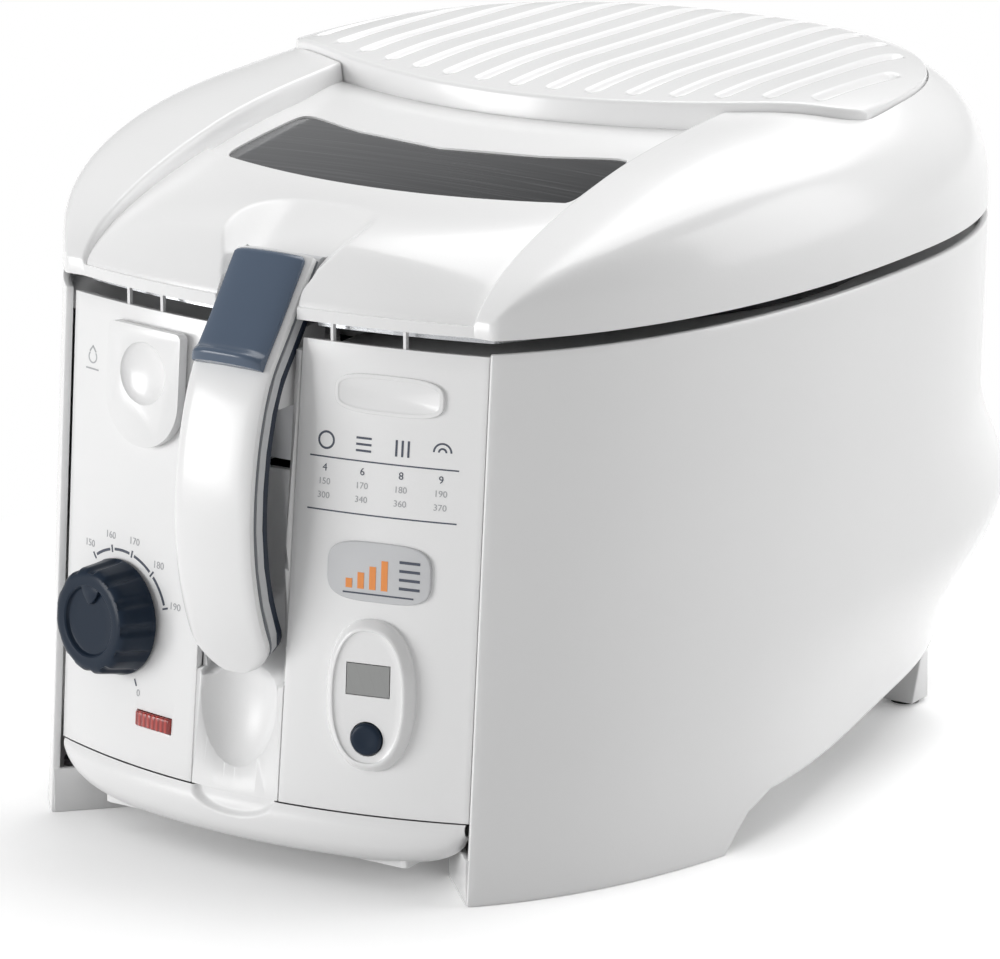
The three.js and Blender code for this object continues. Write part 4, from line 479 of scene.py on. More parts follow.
def carried(piece, frame):
    """Move a piece that was made about the origin to its place."""
    piece.data.transform(scaled(frame) @ Matrix.Scale(1 / MM, 4))
    return piece


def joined(name, *pieces):
    only(*pieces)
    bpy.ops.object.join()
    pieces[0].name = name
    return pieces[0]


def merged_copy(name, node):
    """A copy of a solid's mesh with its loose triangles merged."""
    piece = bpy.data.objects.new(name, nodes[node].data.copy())
    bpy.context.scene.collection.objects.link(piece)
    return welded(piece, 0.001)


def stands_for(piece, body, material, slot, *replaced, angle=35):
    """Finish a piece: smooth it, dress it, and let it ride on a body in place of the solids."""
    only(piece)
    bpy.ops.object.shade_smooth_by_angle(angle=math.radians(angle))
    dress(piece, material)
    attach(piece, body)
    if replaced:
        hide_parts(*replaced)
    print(piece.name + ":", len(piece.data.polygons), "faces")
    return piece


def ramp_up(value, low, high):
    """A smooth step from 0 to 1."""
    t = np.clip((np.asarray(value, float) - low) / (high - low), 0, 1)
    return t * t * (3 - 2 * t)


def spaced(*stretches):
    """Places along a line: each stretch is (start, end, steps)."""
    lists = [np.linspace(start, end, steps + 1) for start, end, steps in stretches]
    return np.concatenate([lists[0]] + [more[1:] for more in lists[1:]])


# %% [markdown]
# ## The form of the body
#
# Seen from above the fryer is a slightly squared oval, longer in front of its widest line
# than behind it, and cut off by the front, which leans back a little. These few formulas
# give the hull, the lid and its cover, so that they meet along the same lines.

# %% The form of the body
WIDTH, DEPTH, HEIGHT = (solid_box[1] - solid_box[0]) / MM
HALF_WIDTH = WIDTH / 2
FRONT_Y, REAR_Y = -DEPTH / 2, DEPTH / 2
BODY_TOP = HEIGHT - 54
LID_BASE = BODY_TOP + 4.4
LEAN = 0.083
PLAN_REAR = 0.396 * DEPTH
PLAN_FRONT = 0.566 * DEPTH
REAR_MARGIN, FRONT_MARGIN = 9, 22
PLAN_CENTRE_Y = REAR_Y - REAR_MARGIN - PLAN_REAR
FRONT_POWER, REAR_POWER = 2.3, 2.34


def fin_y(z):
    return FRONT_Y + FRONT_MARGIN + LEAN * z


def plan_centre_y(z):
    return PLAN_CENTRE_Y - LEAN * (BODY_TOP - np.minimum(z, BODY_TOP))


FIN_SHARE = (PLAN_CENTRE_Y - fin_y(BODY_TOP)) / PLAN_FRONT
FIN_X = HALF_WIDTH * (1 - FIN_SHARE ** FRONT_POWER) ** (1 / FRONT_POWER)


def plan_point(t, half, front, rear, power=REAR_POWER):
    """A point of the outline in plan, from its centre. t runs anticlockwise from +X."""
    c, s = np.cos(t), np.sin(t)
    k = np.where(s > 0, 2 / power, 2 / FRONT_POWER)
    x = half * np.sign(c) * np.abs(c) ** k
    y = np.where(s > 0, rear, -front) * np.abs(s) ** k
    return x, y


print("plan: fins at x =", round(FIN_X, 1), "mm, widest at y =", round(PLAN_CENTRE_Y, 1), "mm")

# %% [markdown]
# ## Housing
#
# The white housing wraps round the sides and the back. Its lower edge stands on the floor
# along the front legs and then sweeps up to the back, and its rear swells low down. The
# grid's columns run round the plan and its rows rise from the lower edge to the top, so
# that the edge is a clean line. A solidify gives the wall, and a bevel rounds its edges.

# %% Housing
RIM = np.array([[-400, 0], [-73, 0], [-70, 6], [-64, 12], [-52, 17], [0, 20], [60, 24],
                [109, 29], [182, 36]])
WALL = 2.6
BULGE_Z, BULGE_REACH, BULGE_OUT = 78, 40, 7
TUCK, TUCK_LOW, TUCK_HIGH, TUCK_Y = 14, 15, 75, -72.07


def bulge(z):
    near = np.abs(z - BULGE_Z) < BULGE_REACH
    return np.where(near, np.cos((z - BULGE_Z) / BULGE_REACH * math.pi / 2) ** 2, 0)


def hull_point(t, z, inset=0.0):
    """A point of the hull, which swells at the rear and tucks in below that."""
    centre = plan_centre_y(z)
    swell = bulge(z)
    rear = REAR_Y - REAR_MARGIN + BULGE_OUT * swell - centre - inset
    x, y = plan_point(t, HALF_WIDTH - inset, PLAN_FRONT - inset, rear, REAR_POWER + 0.5 * swell)
    pull = TUCK * (1 - ramp_up(z, TUCK_LOW, TUCK_HIGH))
    pull = pull * ramp_up(centre + y, TUCK_Y, TUCK_Y + HALF_WIDTH)
    keep = 1 - pull / np.hypot(x, y)
    return x * keep, centre + y * keep


def hull_surface(t, rise):
    """rise is 0 at the lower edge and 1 at the top."""
    z = np.full(t.shape, 20.0)
    for _ in range(8):
        foot = np.interp(hull_point(t, z)[1], RIM[:, 0], RIM[:, 1])
        z = foot + rise * (BODY_TOP - foot)
    x, y = hull_point(t, z)
    return x, y, z


fin_angle = -math.acos((FIN_X / HALF_WIDTH) ** (FRONT_POWER / 2))
round_right = spaced((fin_angle, fin_angle + 0.06, 3), (fin_angle + 0.06, -0.34, 22), (-0.34, 0.0, 18),
                     (0.0, 1.2, 34), (1.2, math.pi / 2, 10))
round_body = np.concatenate([round_right, math.pi - round_right[-2::-1]])
up_body = spaced((0, 0.03, 3), (0.03, 0.75, 34), (0.75, 0.97, 6), (0.97, 1, 2))
housing = laid("housing_skin", round_body, up_body, hull_surface)
walled(housing, WALL)
for vertex in housing.data.vertices:
    vertex.co.z = max(vertex.co.z, 0)


# %% [markdown]
# ## Deck, legs and the inner leaf of each front leg
#
# Under the lid the housing closes with a deck round the bowl. Each front leg is an angle:
# the fin outside, and a leaf that goes in and back, with a floor that carries its pad.

# %% Deck and legs
BOWL_Y, BOWL_RADIUS = 8, 110
BAY_BACK_Y = fin_y(BODY_TOP) + 10
DECK_Z = BODY_TOP - 8
LEG_LEAF = 21


def prism(outline, low, high, frame=None):
    """A primitive circle wrapped to an outline, in mm, and given a height."""
    piece = primitive(bpy.ops.mesh.primitive_circle_add, vertices=len(outline), radius=1,
                      fill_type="NGON")
    for vertex, place in zip(piece.data.vertices, outline):
        vertex.co = (*place, high)
    piece.data.update()
    facing(piece, 2, 1)
    applied(piece, "SOLIDIFY", thickness=high - low, offset=-1)
    piece.data.transform(scaled(frame))
    return piece


def sided(outline, side):
    """An outline on the right, or mirrored to the left with side = -1."""
    return [(side * x, y) for x, y in outline]


def hull_outline(z, inset):
    turn = np.linspace(0, 2 * math.pi, 96, endpoint=False)
    return list(zip(*hull_point(turn, np.full(len(turn), z), inset)))


deck = prism(hull_outline(DECK_Z + 2, WALL / 2), DECK_Z, DECK_Z + 2.5)
cut(deck, bar(BOWL_RADIUS + 1, (0, HEIGHT), 96, at=(0, BOWL_Y, 0)),
    block((-21, 21), (FRONT_Y, BAY_BACK_Y + 12), (0, HEIGHT)),
    block((-WIDTH, WIDTH), (FRONT_Y - 60, fin_y(BODY_TOP) + 3.4), (0, HEIGHT)))


def leg(side):
    """The leaf of a front leg and the floor that carries its pad."""
    fin, end = FIN_X, FIN_X - LEG_LEAF
    y = fin_y(0)
    leaf = [(fin - 0.6, y + 0.4), (fin + 1.2, y + 2.3), (end + 1.8, y + 23.2), (end, y + 21.4)]
    floor = [(fin - 1, y + 2.6), (fin + 20, -139), (end + 2.6, -139)]
    leaf, floor = prism(sided(leaf, side), 0, 15), prism(sided(floor, side), 3, 5.6)
    made = eased(joined("leg", leaf, floor), 0.5)
    return cut(made, prism(hull_outline(4, 1.0), -5, 30), operation="INTERSECT")


eased(housing, 0.6, 50)
housing = joined("housing_skin", housing, deck, leg(1), leg(-1))
stands_for(housing, "base", white_gloss, "white_plastic", "housing_shell")

# %% [markdown]
# ## Lid
#
# The lid is a dome with a slope cut into its front between two rails. The window lies in
# that slope, a scoop makes room for fingers at the handle's head, and the filter's cover
# fills the top. The grid's lines run from the lid's outline in to the cover's outline. In
# front they are parallel, so that the rails, the window's bed and the scoop each get lines
# of their own where they bend.

# %% The lid's surfaces
SHOULDER, SHOULDER_POWER = 52, 2.6
DOME_TOP = HEIGHT - 1
LID_RISE = DOME_TOP - LID_BASE
RAMP_HALF = 0.2852 * WIDTH
RAMP_FOOT_Z, RAMP_HEAD_Z = BODY_TOP + 8, HEIGHT - 11
RAMP_HEAD_Y, RAIL_HEAD_Y = -0.022 * DEPTH, 0.11 * DEPTH
RAIL_X, RAIL_ROUND = 74.8, 1.8
SWELL, SWELL_HALF = 8, 76
SAG = 12.5
LID_FRONT_V = fin_y(LID_BASE) - SAG + 2.2
COVER_INSET, COVER_CORNER = 20.5, 11
COVER_HALF = HALF_WIDTH - COVER_INSET
COVER_FRONT_Y, COVER_BOW = -0.0412 * DEPTH, 39.3
COVER_FLOOR_Z = HEIGHT - 14.5
WINDOW_BED, WINDOW_TAPER, WINDOW_POINTS = 1.5, 0.047, 120
NOTCH_HALF, NOTCH_REAR_Y = 15.7, -138.2
SCOOP_HALF, SCOOP_FLARE, SCOOP_RUN, SCOOP_Z, SCOOP_STEP = 16, 9.5, 23, 190, 16


def inset_of(x, y):
    """How far in from the outline a point of the plan lies."""
    low, high = np.zeros(np.shape(x)), np.full(np.shape(x), 134.0)
    v = y - PLAN_CENTRE_Y
    for _ in range(30):
        g = (low + high) / 2
        across = np.abs(x) / (HALF_WIDTH - g)
        rear = across ** REAR_POWER + (np.abs(v) / (PLAN_REAR - g)) ** REAR_POWER
        front = across ** FRONT_POWER + (np.abs(v) / (PLAN_FRONT - g)) ** FRONT_POWER
        inside = np.where(v > 0, rear, front) < 1
        low, high = np.where(inside, g, low), np.where(inside, high, g)
    return low


def shoulder(inwards):
    t = np.clip(inwards / SHOULDER, 0, 1)
    return LID_RISE * (1 - (1 - t) ** SHOULDER_POWER) ** (1 / SHOULDER_POWER)


def quarter(t, power):
    t = np.clip(t, 0, 1)
    return (1 - (1 - t) ** power) ** (1 / power)


def sag(x):
    return SAG * (x / FIN_X) ** 2


def rail_rise(y):
    start = fin_y(LID_BASE)
    run = (y - start) / (RAIL_HEAD_Y - start)
    return RAMP_FOOT_Z - LID_BASE + (DOME_TOP - RAMP_FOOT_Z) * quarter(run, 1.75)


def dome_z(x, y, proud=0.0):
    """The dome: the shoulder and the rail's rise, rounded where they cross."""
    a = np.maximum(shoulder(inset_of(x, y) + proud), 0.4)
    b = rail_rise(y + proud)
    return LID_BASE + proud + (a ** -6 + b ** -6 - LID_RISE ** -6) ** (-1 / 6)


def ramp_z(v, x=0):
    """The slope: a quarter oval, which swells in the middle of its foot."""
    start = LID_FRONT_V + 1
    swell = SWELL * ramp_up(v, -157, -139) * (1 - ramp_up(v, -139, -92))
    swell = swell * np.clip(1 - (np.asarray(x) / SWELL_HALF) ** 2, 0, 1)
    rise = quarter((v - start) / (RAMP_HEAD_Y - start), 1.6)
    return RAMP_FOOT_Z + (RAMP_HEAD_Z - RAMP_FOOT_Z) * rise + swell


def cover_front_y(x):
    """The bowed front of the cover, with a rounded corner at each end."""
    past = np.clip(np.abs(x) - (COVER_HALF - COVER_CORNER), 0, COVER_CORNER)
    bowed = COVER_FRONT_Y + COVER_BOW * (x / COVER_HALF) ** 2
    return bowed + COVER_CORNER - np.sqrt(COVER_CORNER ** 2 - past ** 2)


def window_front_v(x):
    return -0.2514 * DEPTH + 0.4 * sag(x)


def window_rear_v(x):
    return -0.1401 * DEPTH + 1.1 * sag(x)


def scoop_z(x, y):
    """A trough that widens upwards, found level by level."""
    low, high = np.full(np.shape(x), -0.2), np.full(np.shape(x), 4.0)
    for _ in range(24):
        k = (low + high) / 2
        half = SCOOP_HALF + SCOOP_FLARE * k
        end = NOTCH_REAR_Y + SCOOP_RUN * np.maximum(k - 0.3, 0) / 0.7
        ahead = np.maximum(y - (end - half), 0)
        inside = (np.abs(x) / half) ** 3 + (ahead / half) ** 3 < 1
        low, high = np.where(inside, low, k), np.where(inside, k, high)
    return SCOOP_Z + SCOOP_STEP * low


def softened(a, b, radius):
    """The lower of two heights, rounded where they cross."""
    h = np.clip(0.5 + (b - a) / (2 * radius), 0, 1)
    return b + (a - b) * h - radius * h * (1 - h)


def rail_share(x):
    """0 on the slope and 1 on a rail, over a rounded edge."""
    return 1 - (1 - np.clip((np.abs(x) - RAIL_X) / RAIL_ROUND, 0, 1)) ** 2.2


def lid_z(x, y):
    """The lid's height: the rails and the dome, and the slope with its bed and scoop."""
    v = y - sag(x)
    near_cover = ramp_up(y, -70, 6) * ramp_up(inset_of(x, y), 4, 26) * (1 - ramp_up(y, 24, 60))
    rail = dome_z(x, y) - 2.0 * near_cover
    bed = ramp_up(v - window_front_v(x), -0.9, -0.1) * (1 - ramp_up(v - window_rear_v(x), 4, 26))
    slope = ramp_z(v, x) - WINDOW_BED * bed * (1 - ramp_up(np.abs(x), 74.6, 76))
    slope = softened(slope, scoop_z(x, y), 0.7)
    return slope + (rail - slope) * np.maximum(rail_share(x), ramp_up(y, 60, 64))


print("lid: rises", round(LID_RISE, 1), "mm, its cover is", round(2 * COVER_HALF, 1), "mm wide")

# %% The lid's grid
half_lines = np.concatenate([
    spaced((0, 14.5, 14), (14.5, 15.6, 2)), [NOTCH_HALF],
    spaced((16, 32, 18), (32, 62, 10), (62, 66, 3), (66, 74.2, 5)),
    [74.6, 74.8, 74.95, 75.15, 75.4, 75.7, 76.1, 76.6, 77.2, 77.8, 78.4, 79.2, 80.4, FIN_X]])
front_lines = np.concatenate([-half_lines[:0:-1], half_lines])
front_share = spaced((0, 0.004, 2), (0.004, 0.03, 5), (0.03, 0.68, 48), (0.68, 0.975, 12), (0.975, 1, 6))
window_share = spaced((0, 1, 20))[1:]
behind_share = spaced((0, 0.9, 16), (0.9, 1, 3))[1:]
up_lid = np.concatenate([[-1], front_share, 1 + window_share, 2 + behind_share, [4, 5]])


def side_lines():
    """Outer and inner ends of the lines round the sides and back, from the right fin."""
    t = np.concatenate([np.linspace(fin_angle, 0, 64)[1:], np.linspace(0, math.pi / 2, 64)[1:]])
    x, y = plan_point(t, HALF_WIDTH, PLAN_FRONT, PLAN_REAR)
    rim_x, rim_y = plan_point(np.linspace(0, math.pi / 2, 900), COVER_HALF, PLAN_FRONT,
                              PLAN_REAR - COVER_INSET)
    rim_y = rim_y + PLAN_CENTRE_Y
    front_x = FIN_X + (COVER_HALF - FIN_X) * np.sin(np.linspace(0, math.pi / 2, 300))
    front_y = cover_front_y(front_x)
    behind = rim_y > np.interp(rim_x, front_x, front_y)
    inside = front_y < np.interp(-front_x, -rim_x, rim_y)
    around_x = np.concatenate([front_x[inside], rim_x[behind]])
    around_y = np.concatenate([front_y[inside], rim_y[behind]])
    run = np.concatenate([[0], np.cumsum(np.hypot(np.diff(around_x), np.diff(around_y)))])
    share = np.where(t < 0, 0.3 * (t - fin_angle) / -fin_angle, 0.3 + 0.7 * t / (math.pi / 2))
    inner_x, inner_y = [np.interp(share * run[-1], run, around) for around in (around_x, around_y)]
    return np.stack([x, y + PLAN_CENTRE_Y, inner_x, inner_y], axis=1)


right_side = side_lines()
left_side = right_side[-2::-1] * [-1, 1, -1, 1]
front_edge = LID_FRONT_V + sag(front_lines)
front_edge += (fin_y(LID_BASE) + 0.2 - front_edge) * rail_share(front_lines)
front_ends = np.stack([front_lines, front_edge, front_lines, cover_front_y(front_lines)], axis=1)
line_ends = np.concatenate([front_ends, right_side, left_side, front_ends[:1]])


def lid_surface(column, level):
    """Levels 0 to 3 run from the outline to the cover, past the window's two edges."""
    ends = line_ends[column.astype(int)]
    x = ends[:, 0]
    in_front = column < len(front_lines)
    first, second, third = [np.clip(level - k, 0, 1) for k in range(3)]
    v0, v3 = ends[:, 1] - sag(x), ends[:, 3] - sag(x)
    v1, v2 = window_front_v(x), window_rear_v(x)
    v = v0 + (v1 - v0) * first + (v2 - v1) * second + (v3 - v2) * third
    taper = 1 - WINDOW_TAPER * np.clip((v - v1) / (v2 - v1), 0, 1) * (1 - ramp_up(np.abs(x), 66, 74))
    share = (first * 65 + second * 41 + third * 43) / 149
    side_x = ends[:, 0] + (ends[:, 2] - ends[:, 0]) * share
    side_y = ends[:, 1] + (ends[:, 3] - ends[:, 1]) * share
    x, y = np.where(in_front, x * taper, side_x), np.where(in_front, v + sag(x), side_y)
    z = np.where(level < 0, LID_BASE, lid_z(x, y))
    z = np.where(level > 3, COVER_FLOOR_Z, z)
    middle = level > 4.5
    x, y = np.where(middle, 0, x), np.where(middle, PLAN_CENTRE_Y + 20, y)
    notch = in_front & (np.abs(ends[:, 0]) < NOTCH_HALF - 0.05) & (y < NOTCH_REAR_Y)
    return x, y, np.where(notch, LID_BASE - 0.01, z)


lid = laid("lid_skin", np.arange(len(line_ends)), up_lid, lid_surface)


def dropped(piece, height):
    """Delete the faces that lie at a height, which opens the notch for the handle."""
    mesh = bmesh.new()
    mesh.from_mesh(piece.data)
    low = [face for face in mesh.faces if all(v.co.z < height * MM for v in face.verts)]
    bmesh.ops.delete(mesh, geom=low, context="FACES")
    mesh.to_mesh(piece.data)
    mesh.free()


dropped(lid, LID_BASE + 0.001)
welded(lid, 0.01)
print("lid grid:", len(line_ends), "lines by", len(up_lid), "rows")

# %% The lid's wall, lip and openings
LID_WALL = 2.4
LIP_FOOT_Z = BODY_TOP + 3
VENT_PLACES = np.linspace(PLAN_CENTRE_Y + 10, PLAN_CENTRE_Y + 86, 5)
EAR_X, EAR_HALF = 50, 5.1


def window_outline(grow):
    """The window's outline, a very square superellipse bent along the slope."""
    t = np.linspace(0, 2 * math.pi, WINDOW_POINTS, endpoint=False)
    s = np.sign(np.cos(t)) * np.abs(np.cos(t)) ** 0.2
    r = (np.sign(np.sin(t)) * np.abs(np.sin(t)) ** 0.2 + 1) / 2
    x = s * (RAMP_HALF - 9.4 + grow)
    v = window_front_v(x) - grow + (window_rear_v(x) - window_front_v(x) + 2 * grow) * r
    return x * (1 - WINDOW_TAPER * r), v + sag(x)


walled(lid, LID_WALL)
lid = cut(lid, prism(list(zip(*window_outline(0.3))), 180, HEIGHT + 10))


def lip_surface(turn, level):
    """The rear lip: straight, with rounded ends in plan, and rounded over on top."""
    stages = [level <= 1, level <= 6]
    bend = (level - 1) / 5 * math.pi / 2
    inset = np.select(stages, [0, 7 * (1 - np.cos(bend))], 7 + (level - 6) * 30)
    z = np.select(stages, [LIP_FOOT_Z + level * 10, LIP_FOOT_Z + 10 + 7 * np.sin(bend)],
                  LIP_FOOT_Z + 17)
    radius = np.maximum(14 - inset, 0.5)
    half, back = RAMP_HALF - inset, REAR_Y - inset
    corner = np.clip(turn, 0, math.pi / 2)
    x = np.where(turn < 0, half, half - radius + radius * np.cos(corner))
    y = np.where(turn < 0, back - radius + turn, back - radius + radius * np.sin(corner))
    x = np.where(turn > math.pi / 2, (half - radius) * (1 - (turn - math.pi / 2)), x)
    return x, y, z


around_lip = spaced((-60, 0, 2), (0, math.pi / 2, 10), (math.pi / 2, math.pi / 2 + 1, 8))
lip = laid("lip", around_lip, np.arange(8), lip_surface)
applied(lip, "MIRROR", use_axis=(True, False, False), merge_threshold=0.00002)
walled(welded(lip), LID_WALL)
cut(lip, block((-WIDTH, WIDTH), (0, PLAN_CENTRE_Y + 60), (0, HEIGHT)))
for y in VENT_PLACES:
    cut(lid, block((-60, 60), (y - 2.5, y + 2.5), (COVER_FLOOR_Z - 8, COVER_FLOOR_Z + 3)))
for x in (-EAR_X, EAR_X):
    cut(lip, block((x - EAR_HALF, x + EAR_HALF), (REAR_Y - 12.5, REAR_Y + 5), (0, BODY_TOP + 12)))
lid = joined("lid_skin", lid, lip)
stands_for(lid, "lid", white_gloss, "white_plastic", "lid_shell", angle=50)

# %% [markdown]
# ## Filter cover
#
# The cover over the filter is a plate with fifteen long grooves. A groove is a lowered
# strip with round ends, so the grid gets close lines at the walls of every groove, and the
# height is lowered by the distance to the groove's middle line.

# %% Filter cover
GROOVE_PITCH, GROOVE_HALF, GROOVE_DEPTH = 14.2, 2.5, 2.3
GROOVE_COUNT, COVER_GAP = 15, 0.6
EDGE_BAND, EDGE_ROUND = 14, 1.4
COVER_WALL = 2.2
cover_half = COVER_HALF - COVER_GAP
groove_x = (np.arange(GROOVE_COUNT) - GROOVE_COUNT // 2) * GROOVE_PITCH
across_half = np.array([0, 0.7, 1.3, 1.8, 2.2, 2.6, 3.0, 3.6])
across_groove = np.concatenate([-across_half[:0:-1], across_half])
cover_lines = np.concatenate([
    (groove_x[:, None] + across_groove).ravel(), groove_x[:-1] + GROOVE_PITCH / 2,
    [104.5, 107, 109.5, 111.6, 112.7, 113.3, 113.7, cover_half]])
cover_lines = np.unique(np.round(np.concatenate([cover_lines[np.abs(cover_lines) <= cover_half],
                                                 -cover_lines[cover_lines > 104]]), 3))
cover_lines = np.concatenate([[-999], cover_lines, [999]])
edge_rows = np.array([0, 0.2, 0.5, 0.9, 1.4, 2.2, 4, 6.5, 8.4, 9, 9.4, 9.8, 10.3, 11, 12, 14])
up_cover = np.concatenate([[-9], edge_rows, 100 + spaced((0, 100, 30))[1:-1],
                           200 + np.sort(30 - edge_rows), [400]])


def cover_edges(x, inset=COVER_GAP):
    """Where the cover starts and ends along y."""
    front = cover_front_y(x) + inset
    grow = COVER_INSET + inset
    beside = (np.abs(x) / (HALF_WIDTH - grow + 0.01)) ** REAR_POWER
    rear = PLAN_CENTRE_Y + (PLAN_REAR - grow) * np.clip(1 - beside, 0, 1) ** (1 / REAR_POWER)
    return front, np.maximum(rear, front + 3)


def groove_sink(x, y):
    """How far a groove lowers the surface."""
    nearest = groove_x[np.argmin(np.abs(x[:, None] - groove_x), axis=1)]
    front, rear = cover_edges(nearest, 9)
    ahead = np.maximum(front + GROOVE_HALF - y, 0)
    behind = np.maximum(y - (rear - GROOVE_HALF), 0)
    distance = np.hypot(x - nearest, ahead + behind) - GROOVE_HALF
    return GROOVE_DEPTH * (1 - ramp_up(distance, -1.9, 0.5))


def cover_surface(column, level):
    """Rows close to the edges keep their distance from them, and the others share the rest."""
    wall = (np.abs(column) > 900) | (level < 0) | (level > 300)
    x = np.clip(column, -cover_half, cover_half)
    front, rear = cover_edges(x)
    length = rear - front
    margin = np.minimum(EDGE_BAND, length / 2)
    near, far = [np.clip(k, 0, EDGE_BAND) / EDGE_BAND for k in (level, 230 - level)]
    inner = margin + (level - 100) / 100 * (length - 2 * margin)
    run = np.select([level < 50, level < 199], [near * margin, inner], length - far * margin)
    y = front + run
    edge = np.minimum(np.minimum(y - front, rear - y), cover_half - np.abs(x))
    bend = np.clip(1 - edge / EDGE_ROUND, 0, 1)
    z = dome_z(x, y, 1.0) - EDGE_ROUND * (1 - np.sqrt(1 - bend ** 2)) - groove_sink(x, y)
    return x, y, np.where(wall, COVER_FLOOR_Z + 0.4, z)


cover = welded(laid("cover_skin", cover_lines, up_cover, cover_surface), 0.01)
walled(cover, COVER_WALL)
stands_for(cover, "cover", white_gloss, "white_plastic", "filter_cover", angle=50)

# %% [markdown]
# ## Window
#
# The window is a thin dark pane that follows the slope of the lid. It is laid as rings
# from its middle to its outline, so that its rounded corners come out clean.

# %% Window
PANE_SINK, PANE_THICKNESS = 0.55, 2.2


def pane_surface(turn, ring):
    outline_x, outline_y = window_outline(-0.05)
    k = turn.astype(int) % WINDOW_POINTS
    x = outline_x[k] * ring
    middle_v = (window_front_v(0) + window_rear_v(0)) / 2
    v = middle_v + (outline_y[k] - sag(outline_x[k]) - middle_v) * ring
    bed = 1 - ramp_up(v - window_rear_v(x), 4, 26)
    return x, v + sag(x), ramp_z(v, x) - WINDOW_BED * bed - PANE_SINK


pane = laid("window_glass", np.arange(WINDOW_POINTS + 1), spaced((0, 1, 14)), pane_surface)
walled(facing(welded(pane, 0.01), 2, 1), PANE_THICKNESS)
stands_for(pane, "lid", window_tint_and_reflection, "window_glass", "window_pane")

# %% [markdown]
# ## Front panels
#
# Two bowed panels close the front beside the handle's bay. Each is a grid on the front's
# curve, given its wall, then cut for the controls that pass through it.

# %% The front's surface
PANEL_FOOT, PANEL_TOP = 26, BODY_TOP - 1.5
FOOT_BULGE, TOP_BULGE = 15.5, 11
PANEL_BEHIND, PANEL_GAP = 2.4, 0.9
BAY_HALF = 17
WALL_SHARE = (PLAN_CENTRE_Y - fin_y(BODY_TOP) - PANEL_BEHIND) / (PLAN_FRONT - WALL)
WALL_X = (HALF_WIDTH - WALL) * (1 - WALL_SHARE ** FRONT_POWER) ** (1 / FRONT_POWER)
PANEL_HALF = WALL_X - PANEL_GAP


def panel_bulge(z):
    return FOOT_BULGE + (TOP_BULGE - FOOT_BULGE) * (z - PANEL_FOOT) / (BODY_TOP - PANEL_FOOT)


def panel_y(x, z):
    return fin_y(z) + PANEL_BEHIND - panel_bulge(z) * (1 - (x / PANEL_HALF) ** 2)


def control_frame(x, z):
    """The frame of a control: x to the right, y up and z out of the panel, in mm."""
    right = Vector((1, 2 * panel_bulge(z) * x / PANEL_HALF ** 2, 0)).normalized()
    out = right.cross(Vector((0, LEAN, 1))).normalized()
    up = out.cross(right)
    frame = Matrix((right, up, out)).transposed().to_4x4()
    return Matrix.Translation((x, panel_y(x, z), z)) @ frame


KNOB_X, KNOB_Z = -0.1944 * WIDTH, 73
KNOB = control_frame(KNOB_X, KNOB_Z)
TIMER, TIMER_POWER = control_frame(0.1759 * WIDTH, 64.5), 2.3
LENS = control_frame(-0.1278 * WIDTH, 42)
DOOR = control_frame(-0.1593 * WIDTH, BODY_TOP - 26)
DOOR_HALF, DOOR_TOP, DOOR_CORNER = 16.2, 19.5, 2.2
THROUGH = (-20, 20)


def superellipse(half_x, half_y, power, count=64):
    t = np.linspace(0, 2 * math.pi, count, endpoint=False)
    x = half_x * np.sign(np.cos(t)) * np.abs(np.cos(t)) ** (2 / power)
    y = half_y * np.sign(np.sin(t)) * np.abs(np.sin(t)) ** (2 / power)
    return list(zip(x, y))


def arc(x, y, radius, start, end, count):
    turns = np.linspace(start, end, count)
    return [(x + radius * math.cos(a), y + radius * math.sin(a)) for a in turns]


def door_outline(grow):
    """Square at the top and a half circle below."""
    half, top = DOOR_HALF + grow, DOOR_TOP + grow
    foot = arc(0, DOOR_HALF - DOOR_TOP, half, math.pi, 2 * math.pi, 33)
    right = arc(half - DOOR_CORNER, top - DOOR_CORNER, DOOR_CORNER, 0, math.pi / 2, 6)
    return foot + right + sided(right[::-1], -1)


print("front: panels reach x =", round(PANEL_HALF, 1), "mm")

# %% Front panels
def front_panel(name, xs):
    panel = laid(name, xs, spaced((PANEL_FOOT, PANEL_TOP, 24)), lambda x, z: (x, panel_y(x, z), z))
    return walled(panel, WALL)


left = front_panel("panel_left_skin", spaced((-PANEL_HALF, -BAY_HALF - 0.25, 30)))
cut(left, prism(door_outline(-4.2), *THROUGH, DOOR), bar(3.6, THROUGH, 24, KNOB),
    block((-8.05, 8.05), (-2.8, 2.8), THROUGH, LENS))
stands_for(eased(left, 0.35, 50), "base", white_gloss, "white_plastic", "front_panel_left")
right = front_panel("panel_right_skin", spaced((BAY_HALF + 0.25, PANEL_HALF, 30)))
cut(right, prism(superellipse(13.4, 22.9, TIMER_POWER), *THROUGH, TIMER))
stands_for(eased(right, 0.35, 50), "base", white_gloss, "white_plastic", "front_panel_right")

# %% [markdown]
# ## Handle
#
# The handle is a bowed strap in layers: a white shell with a crowned face, a thin grey
# line, a pale core and a navy back. One curve gives the bow, and the shell, the line and the
# back are each a grid that follows it at its own depth. The curve is a Catmull-Rom spline
# whose knots are spaced by the square root of the distance, so that it never loops.

# %% The handle's bow
HANDLE_HALF = 14.5
TIP_Z, HEAD_Z = 66, HEIGHT - 31
BOW = np.array([[12.5, 0], [5, 0.1353], [1.2, 0.2556], [0, 0.3835], [1.5, 0.5113],
                [5, 0.6316], [11, 0.7444], [23, 0.8647], [36.5, 1]])


